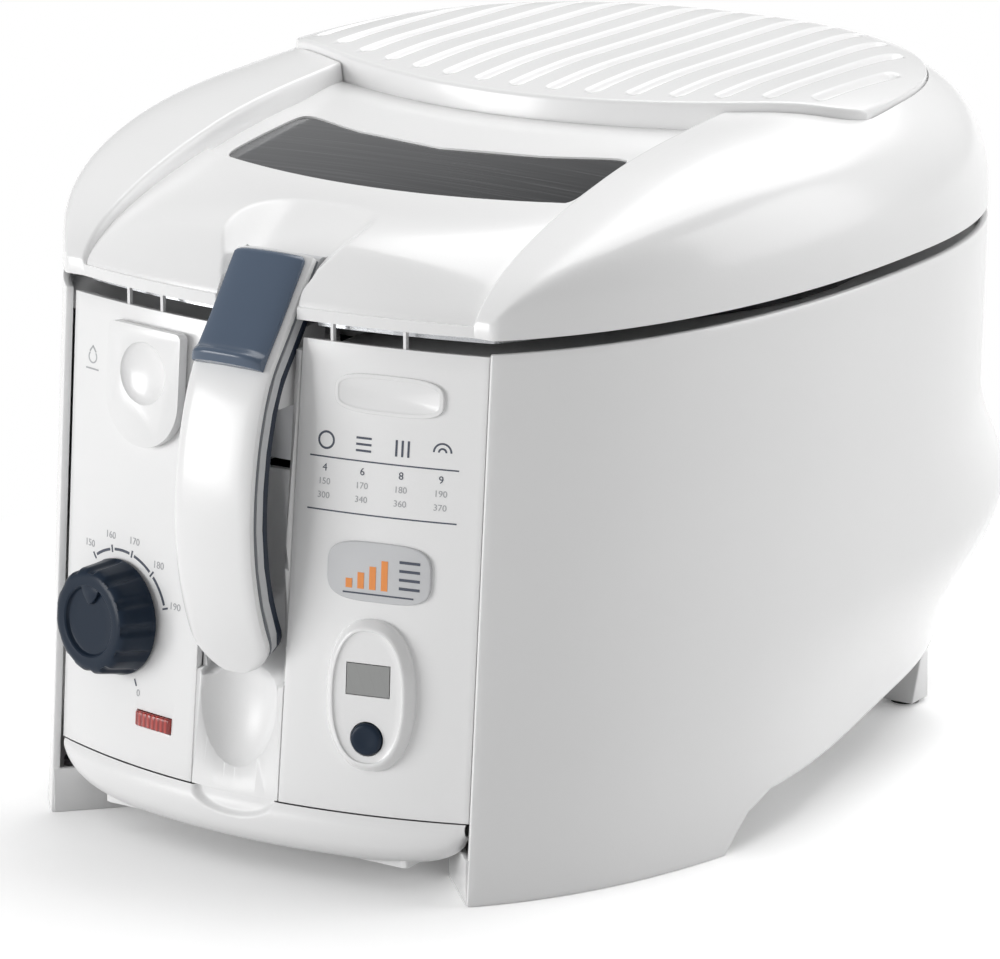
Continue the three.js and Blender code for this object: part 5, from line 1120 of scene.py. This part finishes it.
def spline(points, count=60):
    """Points along a centripetal Catmull-Rom curve."""
    ends = np.concatenate([[2 * points[0] - points[1]], points, [2 * points[-1] - points[-2]]])
    made = []
    for p0, p1, p2, p3 in zip(ends, ends[1:], ends[2:], ends[3:]):
        d0, d1, d2 = [np.linalg.norm(b - a) ** 0.5 for a, b in ((p0, p1), (p1, p2), (p2, p3))]
        m1 = ((p1 - p0) / d0 - (p2 - p0) / (d0 + d1) + (p2 - p1) / d1) * d1
        m2 = ((p2 - p1) / d1 - (p3 - p1) / (d1 + d2) + (p3 - p2) / d2) * d1
        t = np.linspace(0, 1, count, endpoint=False)[:, None]
        begun = p1 + m1 * t + (3 * (p2 - p1) - 2 * m1 - m2) * t ** 2
        made.append(begun + (2 * (p1 - p2) + m1 + m2) * t ** 3)
    return np.concatenate(made + [points[-1:]])


bow = spline(np.stack([FRONT_Y + BOW[:, 0], TIP_Z + (HEAD_Z - TIP_Z) * BOW[:, 1]], axis=1))
bow_run = np.concatenate([[0], np.cumsum(np.linalg.norm(np.diff(bow, axis=0), axis=1))])
BOW_LENGTH = bow_run[-1]


def on_bow(run):
    """A point of the bow and the direction out of its face, at a run from the tip."""
    run = np.clip(run, 0, BOW_LENGTH)
    places = [np.clip(place, 0, BOW_LENGTH) for place in (run, run + 1.2, run - 1.2)]
    (y, z), ahead, behind = [[np.interp(place, bow_run, bow[:, k]) for k in range(2)]
                             for place in places]
    dy, dz = ahead[0] - behind[0], ahead[1] - behind[1]
    length = np.hypot(dy, dz)
    return y, z, -dz / length, dy / length


def on_handle(share, run, depth, half=HANDLE_HALF):
    """A point at a share of the handle's width, a run from its tip and a depth under its face."""
    y, z, out_y, out_z = on_bow(run)
    narrow = np.sqrt(1 - (1 - np.clip((run + 0.4) / 12, 0, 1)) ** 2)
    x = share * half * narrow
    deep = depth + 1.2 * (x / HANDLE_HALF) ** 2
    return x, y - out_y * deep, z - out_z * deep


print("handle:", round(BOW_LENGTH, 1), "mm along its bow")

# %% The handle's layers
tip_runs = [0, 0.4, 1, 1.9, 3, 4.4, 6.2, 8.4, 11]
shares = np.sin(np.linspace(-1, 1, 17) * math.pi / 2)


def strap(name, depths, top_run, edge):
    """A closed strap between two depths, with its long edges rounded in front."""
    around = np.concatenate([np.arange(len(shares)), 100 + np.arange(len(shares))[::-1]])
    around = np.concatenate([around, around[:1]])

    def surface(place, run):
        back = place >= 100
        share = shares[np.where(back, place - 100, place).astype(int)]
        turned = edge * np.clip((np.abs(share) - 0.8) / 0.2, 0, 1) ** 2
        return on_handle(share, run, np.where(back, depths[1], depths[0] + turned))

    runs = np.concatenate([tip_runs, spaced((11, top_run, 44))[1:]])
    return capped(welded(laid(name, around, runs, surface), 0.005))


def capped(piece):
    """Fill the open ends of a tube."""
    edit = bpy.ops.mesh
    return in_edit_mode(piece, lambda: edit.select_mode(type="EDGE"),
                        lambda: edit.select_all(action="DESELECT"),
                        edit.select_non_manifold, edit.edge_face_add,
                        lambda: edit.select_mode(type="VERT"),
                        lambda: edit.select_all(action="SELECT"),
                        lambda: edit.normals_make_consistent(inside=False))


shell = strap("handle_face", (0, 3), BOW_LENGTH, 0.9)
stands_for(eased(shell, 0.5, 50), "handle", white_gloss, "white_plastic", "handle_shell")
trim = strap("handle_line", (3.3, 4.1), BOW_LENGTH, 0)
stands_for(trim, "handle", trim_grey, "grey_trim", "handle_trim")
back = strap("handle_lining", (7.9, 10.2), BOW_LENGTH - 14, 0)
stands_for(eased(back, 0.8, 50), "handle", navy_satin, "navy_plastic", "handle_back")

# %% [markdown]
# ## Slider
#
# The slider on the handle's head is a crowned pad with a raised lip at its lower end. It
# follows the bow too. Its top end is round, so the width closes in over the last stretch.
# A stem under it goes into the handle.

# %% Slider
slider_foot, slider_head = BOW_LENGTH - 41, BOW_LENGTH - 1
SLIDER_HALF, SLIDER_SINK, SLIDER_PROUD, LIP_PROUD = 13.2, 0.3, 2.6, 3


def slider_surface(share, run):
    back = np.abs(share) > 50
    share = np.where(back, share - 100, share)
    above, below = slider_head - run, run - slider_foot
    round_top = 1 - np.clip(1 - above / 2, 0, 1) ** 2 * 0.7
    round_side = 1 - 0.45 * np.abs(share) ** 6
    lip = LIP_PROUD * np.exp(-((below - 2.4) / 2.2) ** 2)
    proud = SLIDER_SINK + SLIDER_PROUD * round_top * round_side + lip * round_side
    half = SLIDER_HALF * (1 - 0.16 * np.clip(1 - (above + 0.5) / 2.4, 0, 1) ** 2)
    return on_handle(share, run, np.where(back, -SLIDER_SINK, -proud), half)


pad_runs = spaced((slider_foot, slider_foot + 1, 2), (slider_foot + 1, slider_foot + 6, 10),
                  (slider_foot + 6, slider_head - 8, 14), (slider_head - 8, slider_head, 14))
around_pad = np.concatenate([shares, 100 + shares[::-1], shares[:1]])
slider = capped(welded(laid("slider_pad", around_pad, pad_runs, slider_surface), 0.005))
stem_y, stem_z = on_bow(BOW_LENGTH - 20)[:2]
stem = block((-2, 2), (-0.5, 2.5), (-3, 3), Matrix.Translation((0, stem_y + 1.4, stem_z)))
slider = joined("slider_pad", eased(slider, 0.3, 60), stem)
# The slider's navy is lightened to slate, a painted sheen.
stands_for(slider, "slider", navy_painted_sheen, "navy_plastic", "handle_slider")

# %% [markdown]
# ## Knob
#
# The knob is turned: a profile of radius and height goes round an axis. Twelve flutes
# lower the skirt at even angles, and the face has a round recess with a raised pointer.

# %% Knob
KNOB_H, KNOB_FLUTES = 13.6, 12
knob_profile = np.array([[16, 0.6], [18.7, 0.6], [19, 0.9], [19, 1.8], [18.8, 2.3], [18.3, 5],
                         [17.9, 8], [17.6, 10.2], [17.4, 11.2], [17.1, 12], [16.6, 12.7],
                         [15.9, 13.2], [15, 13.5], [14.2, KNOB_H], [12.6, KNOB_H], [11.9, 13.5],
                         [11.4, 13.1], [11.2, 12.5], [10.9, 12.1], [10.4, 12], [7, 12],
                         [4, 12], [1.5, 12], [0, 12]])


def turned(name, profile, segments, shaping=None):
    """A primitive grid turned round Z into a profile of radius and height."""
    def surface(turn, k):
        radius, z = profile[k.astype(int)].T
        angle = turn / segments * 2 * math.pi
        if shaping:
            radius, z = shaping(angle, radius, z)
        return radius * np.cos(angle), radius * np.sin(angle), z

    piece = laid(name, np.arange(segments + 1), np.arange(len(profile)), surface)
    return welded(piece, 0.003)


def fluted(angle, radius, z):
    nearest = np.mod(angle / (2 * math.pi) * KNOB_FLUTES + 0.5, 1) - 0.5
    across = nearest * 2 * math.pi / KNOB_FLUTES * radius
    on_skirt = ramp_up(z, 1.0, 2.0) * (1 - ramp_up(z, 12.6, 13.4)) * (radius > 14)
    depth = 1.0 * (1 - ramp_up(np.abs(across), 0.5, 2.6)) * on_skirt
    return radius - depth, z


knob = turned("knob_skin", knob_profile, 288, fluted)
heart = [(-4.6, 11.6), (-3.2, 8.4), (-1.2, 6.2), (0, 5.4), (1.2, 6.2), (3.2, 8.4), (4.6, 11.6)]
pointer = prism(heart, KNOB_H - 2.5, KNOB_H - 0.3)
knob = carried(joined("knob_skin", knob, eased(pointer, 0.3)), KNOB)
stands_for(knob, "knob", navy_gloss, "navy_plastic", "temperature_knob", angle=30)
shaft = cut(merged_copy("shaft_skin", "knob_shaft"), bar(6, (KNOB_H - 3, 24), 24, KNOB))
stands_for(shaft, "knob", steel, "steel", "knob_shaft")

# %% [markdown]
# ## Timer, door and pilot light
#
# The timer is a bevelled oval with a sunk face, a grey display and one round button. The
# drain's door is a plate with a round hollow for a finger. Each is built flat, in the frame
# of its place on the front, and then carried there.

# %% Timer
BUTTON_Y = -13.5


def ringed(name, outline, profile):
    """An outline offset inwards ring by ring: the profile gives (inset, height) pairs."""
    outline = np.array(outline)
    along = np.roll(outline, -1, axis=0) - np.roll(outline, 1, axis=0)
    inward = np.stack([-along[:, 1], along[:, 0]], axis=1) / np.linalg.norm(along, axis=1)[:, None]

    def surface(turn, k):
        k, i = k.astype(int), turn.astype(int) % len(outline)
        inset, height = profile[k, 0], profile[k, 1]
        place = outline[i] + inward[i] * inset[:, None]
        last = k == len(profile) - 1
        x, y = [np.where(last, outline[:, axis].mean(), place[:, axis]) for axis in range(2)]
        return x, y, height

    return welded(laid(name, np.arange(len(outline) + 1), np.arange(len(profile)), surface), 0.003)


timer_profile = np.array([[0, -2], [0, 0.6], [0.15, 1.3], [0.5, 1.9], [1.7, 3.3], [2.2, 3.8],
                          [2.7, 4.0], [3.1, 3.95], [3.3, 3.7], [3.4, 3.45], [3.7, 3.3],
                          [6, 3.3], [10, 3.3]])
timer = ringed("timer_skin", superellipse(15, 24.5, TIMER_POWER, 120), timer_profile)
plug = prism(superellipse(12.8, 22.3, TIMER_POWER), -8, 0.5)
cut(plug, bar(10.3, (-9, -4), 48, at=(0, 4, 0)))
cut(timer, block((-7.5, 7.5), (0.25, 10.75), (1.4, 6)), bar(5.6, (-6, 8), 48, at=(0, BUTTON_Y, 0)),
    block((-2.2, 2.2), (-25.5, -22.9), (-0.7, 1.6)))
timer = carried(joined("timer_skin", timer, plug), TIMER)
stands_for(timer, "base", white_gloss, "white_plastic", "timer_housing", angle=30)
button_profile = np.array([[5.2, -3.5], [5.2, 3.6], [5.1, 4.1], [4.8, 4.5], [4.3, 4.7],
                           [3.5, 4.75], [2.4, 4.6], [1.2, 4.5], [0, 4.45]])
button = turned("button_cap", button_profile, 64)
button.data.transform(Matrix.Translation((0, BUTTON_Y * MM, 0)))
stands_for(carried(button, TIMER), "button", navy_gloss, "navy_plastic", "timer_button")

# %% Door and pilot light
door = cut(prism(door_outline(0), 0.25, 3.6), ball((0, 4.5, 4.2), (10.4, 10.4, 3.2), 64, 32))
rim = cut(prism(door_outline(-4.8), -3, 0.6), prism(door_outline(-6.4), -4, 0.5))
door = carried(joined("door_skin", eased(door, 0.7, 50, 3), rim), DOOR)
stands_for(door, "door", white_gloss, "white_plastic", "drain_door", angle=30)
lens_cap = eased(block((-7.75, 7.75), (-2.5, 2.5), (-3, 1.0)), 0.6, 50, 3)
stands_for(carried(lens_cap, LENS), "base", red_lens, "red_lens", "indicator_lens")

# %% [markdown]
# ## Bumper, finger bay and the gap's ribs
#
# A rolled lip closes the front below the panels, with a crescent pressed into its middle.
# The bay behind the handle ends in a dish for the fingertips. Both solids are right but
# coarse, so a merged copy of each is taken: the lip is cut off and laid again as a finer
# grid, and the dish is cut again with a finer ball. The rear legs are cut off as well and
# come back with sides that widen upwards into the shell.

# %% Bumper and bay
LIP_TOP = 25.6
CRESCENT_HALF, CRESCENT_HEIGHT, CRESCENT_DEPTH = 16.5, 6.8, 2.2
LEG_X, LEG_Y, PAD_HALF = 97, 98, 6.4
DISH_Z = 58
lip_profile = spline(np.array([[-7, 8.4], [-1.5, 10.8], [1.4, 14.5], [2.2, 19], [1.9, 22.5],
                               [0.3, LIP_TOP]]), 6)


def bumper_surface(x, k):
    out, z = lip_profile[k.astype(int)].T
    fall = np.maximum(0.15, np.sqrt(1 - (np.abs(x) / PANEL_HALF) ** 7))
    z = LIP_TOP - (LIP_TOP - z) * fall
    inside = 1 - (x / CRESCENT_HALF) ** 2 - ((LIP_TOP + 0.2 - z) / CRESCENT_HEIGHT) ** 2
    y = panel_y(x, PANEL_FOOT) - out * fall + CRESCENT_DEPTH * ramp_up(inside, 0, 0.3)
    return x, y, z


bumper_xs = np.unique(np.concatenate([np.linspace(-79, 79, 80), np.linspace(-17, 17, 69)]))
bumper = walled(laid("bumper", bumper_xs, np.arange(len(lip_profile)), bumper_surface), 1.6)
plate = merged_copy("base_skin", "base_plate")
behind_lip = [(x, panel_y(x, PANEL_FOOT) + 3) for x in np.linspace(FIN_X + 2, -FIN_X - 2, 40)]
cut(plate, prism([(-90, FRONT_Y - 20), (90, FRONT_Y - 20)] + behind_lip, -5, 30))


def rear_leg(side):
    """A leg that widens upwards from its pad into the shell."""
    pad = [(LEG_X + PAD_HALF * k, LEG_Y + PAD_HALF * m) for k, m in ((-1, -1), (1, -1), (1, 1), (-1, 1))]
    made = prism(sided(pad, side), 1.2, 33)
    for vertex in made.data.vertices:
        if vertex.co.z > 0.02:
            vertex.co.x = (side * 99.75 + (vertex.co.x / MM - side * LEG_X) * 1.84) * MM
            vertex.co.y = (96 + (vertex.co.y / MM - LEG_Y) * 1.56) * MM
    return eased(cut(made, prism(hull_outline(30, 2.9), 0, 40), operation="INTERSECT"), 1.2, 40, 3)


cut(plate, block((-132, -76), (74, 134), (-1, 26)), block((76, 132), (74, 134), (-1, 26)))
plate = joined("base_skin", plate, rear_leg(-1), rear_leg(1), bumper)
stands_for(plate, "base", white_satin, "white_plastic", "base_plate", angle=40)

bay = merged_copy("bay_skin", "handle_bay")
cut(bay, ball((0, panel_y(0, DISH_Z) - 6, DISH_Z), (16.3, 15.3, 24.3), 72, 48))
stands_for(bay, "base", white_satin, "white_plastic", "handle_bay", angle=30)

ribs = []
for x in (-55, -40, 27, 52):
    y = panel_y(x, PANEL_TOP)
    ribs.append(block((x - 0.5, x + 0.5), (y + 0.8, y + 2.4), (PANEL_TOP - 1, LID_BASE - 0.5)))
stands_for(joined("gap_ribs", *ribs), "base", white_satin, "white_plastic")

# %% [markdown]
# ## Printing on the front
#
# The marks are ink on a bowed surface. Each is drawn flat with x and z as on the panel, as
# text, an arc or a bar, and then laid on the front's curve with a hair's thickness. The
# settings of the dial are numbers. The guide on the right panel and the plate under it are
# plain patterns.

# %% Inks and marks
INK_THICKNESS = 0.06
ink_navy = moulded("ink_navy", srgb(72, 78, 92), 0.5)
ink_grey = moulded("ink_grey", srgb(176, 177, 180), 0.5)
ink_orange = moulded("ink_orange", srgb(240, 150, 78), 0.45)


def text_mark(words, x, z, size):
    piece = primitive(bpy.ops.object.text_add)
    piece.data.body, piece.data.size = words, size
    piece.data.align_x, piece.data.align_y = "CENTER", "CENTER"
    piece.data.resolution_u = 3
    bpy.ops.object.convert(target="MESH")
    piece.data.transform(Matrix.Translation((x, z, 0)))
    return piece


def laid_flat(us, vs, place):
    piece = laid("mark", us, vs, lambda u, v: (*place(u, v), 0 * u))
    piece.data.transform(Matrix.Scale(1 / MM, 4))
    return piece


def sector_mark(x, z, radius, width, start, end):
    """Part of a ring, between two angles in degrees."""
    turns = np.radians(np.linspace(start, end, max(8, int(abs(end - start) / 5))))
    return laid_flat(turns, [radius - width / 2, radius + width / 2],
                     lambda a, r: (x + r * np.cos(a), z + r * np.sin(a)))


def bar_mark(x, z, length, height, turn=0):
    c, s = math.cos(math.radians(turn)), math.sin(math.radians(turn))
    return laid_flat(np.linspace(-length / 2, length / 2, 9), [-height / 2, height / 2],
                     lambda u, v: (x + u * c - v * s, z + u * s + v * c))


def on_panel(x, z):
    return Vector((x, panel_y(x, z) - 0.04, z))


def printed(name, ink, slot, marks, place=on_panel):
    """Lay flat marks, drawn in mm, on the front."""
    piece = joined(name, *marks)
    in_edit_mode(piece, lambda: bpy.ops.mesh.remove_doubles(threshold=0.001))
    for vertex in piece.data.vertices:
        vertex.co = place(vertex.co.x, vertex.co.y) * MM
    applied(facing(piece, 1, -1), "SOLIDIFY", thickness=INK_THICKNESS * MM, offset=1)
    stands_for(piece, "base", ink, slot)


# %% Dial
DIAL_RADIUS, OFF_ANGLE = 21.6, -66
settings = {"150": 128, "160": 103, "170": 78, "180": 50, "190": 18}


def round_dial(angle, radius):
    a = math.radians(angle)
    return KNOB_X + radius * math.cos(a), KNOB_Z + radius * math.sin(a)


angles = list(settings.values())
dial = [sector_mark(KNOB_X, KNOB_Z, DIAL_RADIUS, 0.9, low - 3, high + 3)
        for low, high in zip(angles, angles[1:])]
dial += [bar_mark(*round_dial(angle, DIAL_RADIUS + 0.2), 2.4, 0.6, angle)
         for angle in angles + [OFF_ANGLE]]
printed("dial_marks", ink_navy, "navy_plastic", dial)
numbers = [text_mark(number, *round_dial(angle, 26.2), 3.3) for number, angle in settings.items()]
numbers.append(text_mark("0", *round_dial(OFF_ANGLE, 25.4), 3.3))
printed("dial_numbers", ink_grey, "grey_trim", numbers)

# %% Drop beside the drain's door
DROP_X, DROP_Z = -70.5, 154.5
drop = [sector_mark(DROP_X, DROP_Z, 1.9, 0.5, -225, 45), bar_mark(DROP_X, DROP_Z - 3.9, 6.2, 0.5),
        bar_mark(DROP_X - 0.7, DROP_Z + 2.7, 2.6, 0.5, 50),
        bar_mark(DROP_X + 0.7, DROP_Z + 2.7, 2.6, 0.5, 130)]
printed("drain_mark", ink_grey, "grey_trim", drop)

# %% Cooking guide
GUIDE_X, GUIDE_Z = 47, 143.5
columns = [27.5, 40.5, 53.5, 66.5]
guide = [sector_mark(columns[0], GUIDE_Z, 2.6, 0.7, 0, 360)]
guide += [bar_mark(columns[1], GUIDE_Z + k, 5.2, 0.7) for k in (-2, 0, 2)]
guide += [bar_mark(columns[2] + k, GUIDE_Z, 0.7, 5.2) for k in (-2, 0, 2)]
guide += [sector_mark(columns[3], GUIDE_Z, radius, 0.6, 0, 180) for radius in (1.2, 2.8)]
guide += [bar_mark(GUIDE_X, z, 50, 0.45) for z in (138.2, 121.4)]
guide += [text_mark(minutes, x, 134.8, 3.4) for minutes, x in zip("4689", columns)]
printed("guide_marks", ink_navy, "navy_plastic", guide)
heats = [text_mark(str(heat), x, z, 2.9)
         for z, row in ((130.4, (150, 170, 180, 190)), (126, (300, 340, 360, 370)))
         for x, heat in zip(columns, row)]
printed("guide_heats", ink_grey, "grey_trim", heats)

# %% Plates
PLATE_X, PLATE_Z, PLATE_TOP = 48, 103.6, 0.7


def small_plate(name, x, z, half_x, half_z, power, profile, material, slot):
    plate = ringed(name, superellipse(half_x, half_z, power, 96), np.array(profile))
    stands_for(carried(plate, control_frame(x, z)), "base", material, slot, angle=30)


badge_steps = [[0, -0.6], [0, 0.3], [0.2, 0.55], [1.2, 0.6], [1.5, 0.4], [1.8, 0.3], [3, 0.3]]
small_plate("badge_plate", 48.3, 159.6, 18.6, 6.4, 3.4, badge_steps, white_gloss, "white_plastic")
plate_steps = [[0, -0.6], [0, 0.35], [0.25, 0.6], [0.7, PLATE_TOP], [3, PLATE_TOP]]
small_plate("colour_plate", PLATE_X, PLATE_Z, 17.6, 9.6, 3.6, plate_steps, pale_grey,
            "pale_plastic")


def on_plate(x, z):
    return control_frame(PLATE_X, PLATE_Z) @ Vector((x, z, PLATE_TOP + 0.04))


steps_up = [bar_mark(4 * k - 10, 1.1 * k - 4, 2.2, 3 + 2.2 * k) for k in range(4)]
printed("plate_steps", ink_orange, "pale_plastic", steps_up, on_plate)
lines = [bar_mark(10.5, 2.8 * k - 4.1, 7, 0.9) for k in range(4)] + [bar_mark(0, -7, 24, 0.5)]
printed("plate_lines", ink_navy, "navy_plastic", lines, on_plate)

# %% [markdown]
# ## Floor and light
#
# The floor looks white to the camera and to what mirrors it, and stays a mid tone for the
# light that bounces, so that the object's underside isn't washed out. Far from the object
# it glows plain white, and near it the shadow stays.

# %% Floor
FLOOR_SIZE = 14
GLOW_FROM, GLOW_SLOPE = 0.42, 3.5
BLACK, PLAIN_WHITE = (0.0, 0.0, 0.0), (1.0, 1.0, 1.0)


def studio_floor():
    floor = primitive(bpy.ops.mesh.primitive_plane_add, size=FLOOR_SIZE)
    floor.name = "floor"
    made = Finish("floor", WHITE, 0.9)
    paths = made.tree.nodes.new("ShaderNodeLightPath")
    camera_ray, glossy_ray, clear_ray = [Wire(made, paths.outputs["Is " + kind + " Ray"])
                                         for kind in ("Camera", "Glossy", "Transmission")]
    seen = camera_ray.math("MAXIMUM", glossy_ray).math("MAXIMUM", clear_ray)
    away = made.stretched((2.2, 1.9, 1.0), Location=(0.0, -0.02, 0.0))
    distance = made.node("VectorMath", {"operation": "LENGTH"}, {0: away}, output=1)
    far = ((distance - GLOW_FROM) * GLOW_SLOPE).clamped()
    made.set("Emission Color", made.mix(seen, BLACK, PLAIN_WHITE))
    made.set("Emission Strength", 0.04)
    made.set("Base Color", made.mix(seen, shade(WHITE, 0.7), (1.3, 1.3, 1.3)))
    glow = made.node("Emission", {}, {"Strength": 1.0})
    lit = Wire(made, made.shader.outputs[0])
    blend = made.node("MixShader", {}, {0: seen * far, 1: lit, 2: glow})
    made.feed(made.tree.nodes["Material Output"].inputs["Surface"], blend)
    dress(floor, made.material)


studio_floor()

# %% Light
LIGHT_AIM = Vector((0, 0, 0.1))


def soft_box(name, at, size, power):
    data = bpy.data.lights.new(name, "AREA")
    data.shape = "SQUARE"
    data.size = size
    data.energy = power
    lamp = bpy.data.objects.new(name, data)
    bpy.context.scene.collection.objects.link(lamp)
    lamp.location = at
    lamp.rotation_mode = "QUATERNION"
    lamp.rotation_quaternion = (LIGHT_AIM - Vector(at)).to_track_quat("-Z", "Y")


soft_box("top_box", (0, 1.0, 1.8), 1.8, 30)
soft_box("front_box", (-1.2, -1.7, 0.3), 1.0, 26)
soft_box("side_box", (1.7, 1.2, 0.8), 1.3, 14)


def studio_world():
    world = bpy.data.worlds.new("studio")
    bpy.context.scene.world = world
    world.use_nodes = True
    tree = world.node_tree
    background = tree.nodes["Background"]
    background.inputs["Color"].default_value = (1, 1, 1, 1)
    paths = tree.nodes.new("ShaderNodeLightPath")
    lit = tree.nodes.new("ShaderNodeMix")
    lit.inputs[2].default_value = 0.4
    lit.inputs[3].default_value = 1.0
    tree.links.new(paths.outputs["Is Camera Ray"], lit.inputs[0])
    tree.links.new(lit.outputs[0], background.inputs["Strength"])


studio_world()
bpy.context.scene.view_settings.view_transform = "Standard"
print("lights:", len(bpy.data.lights))
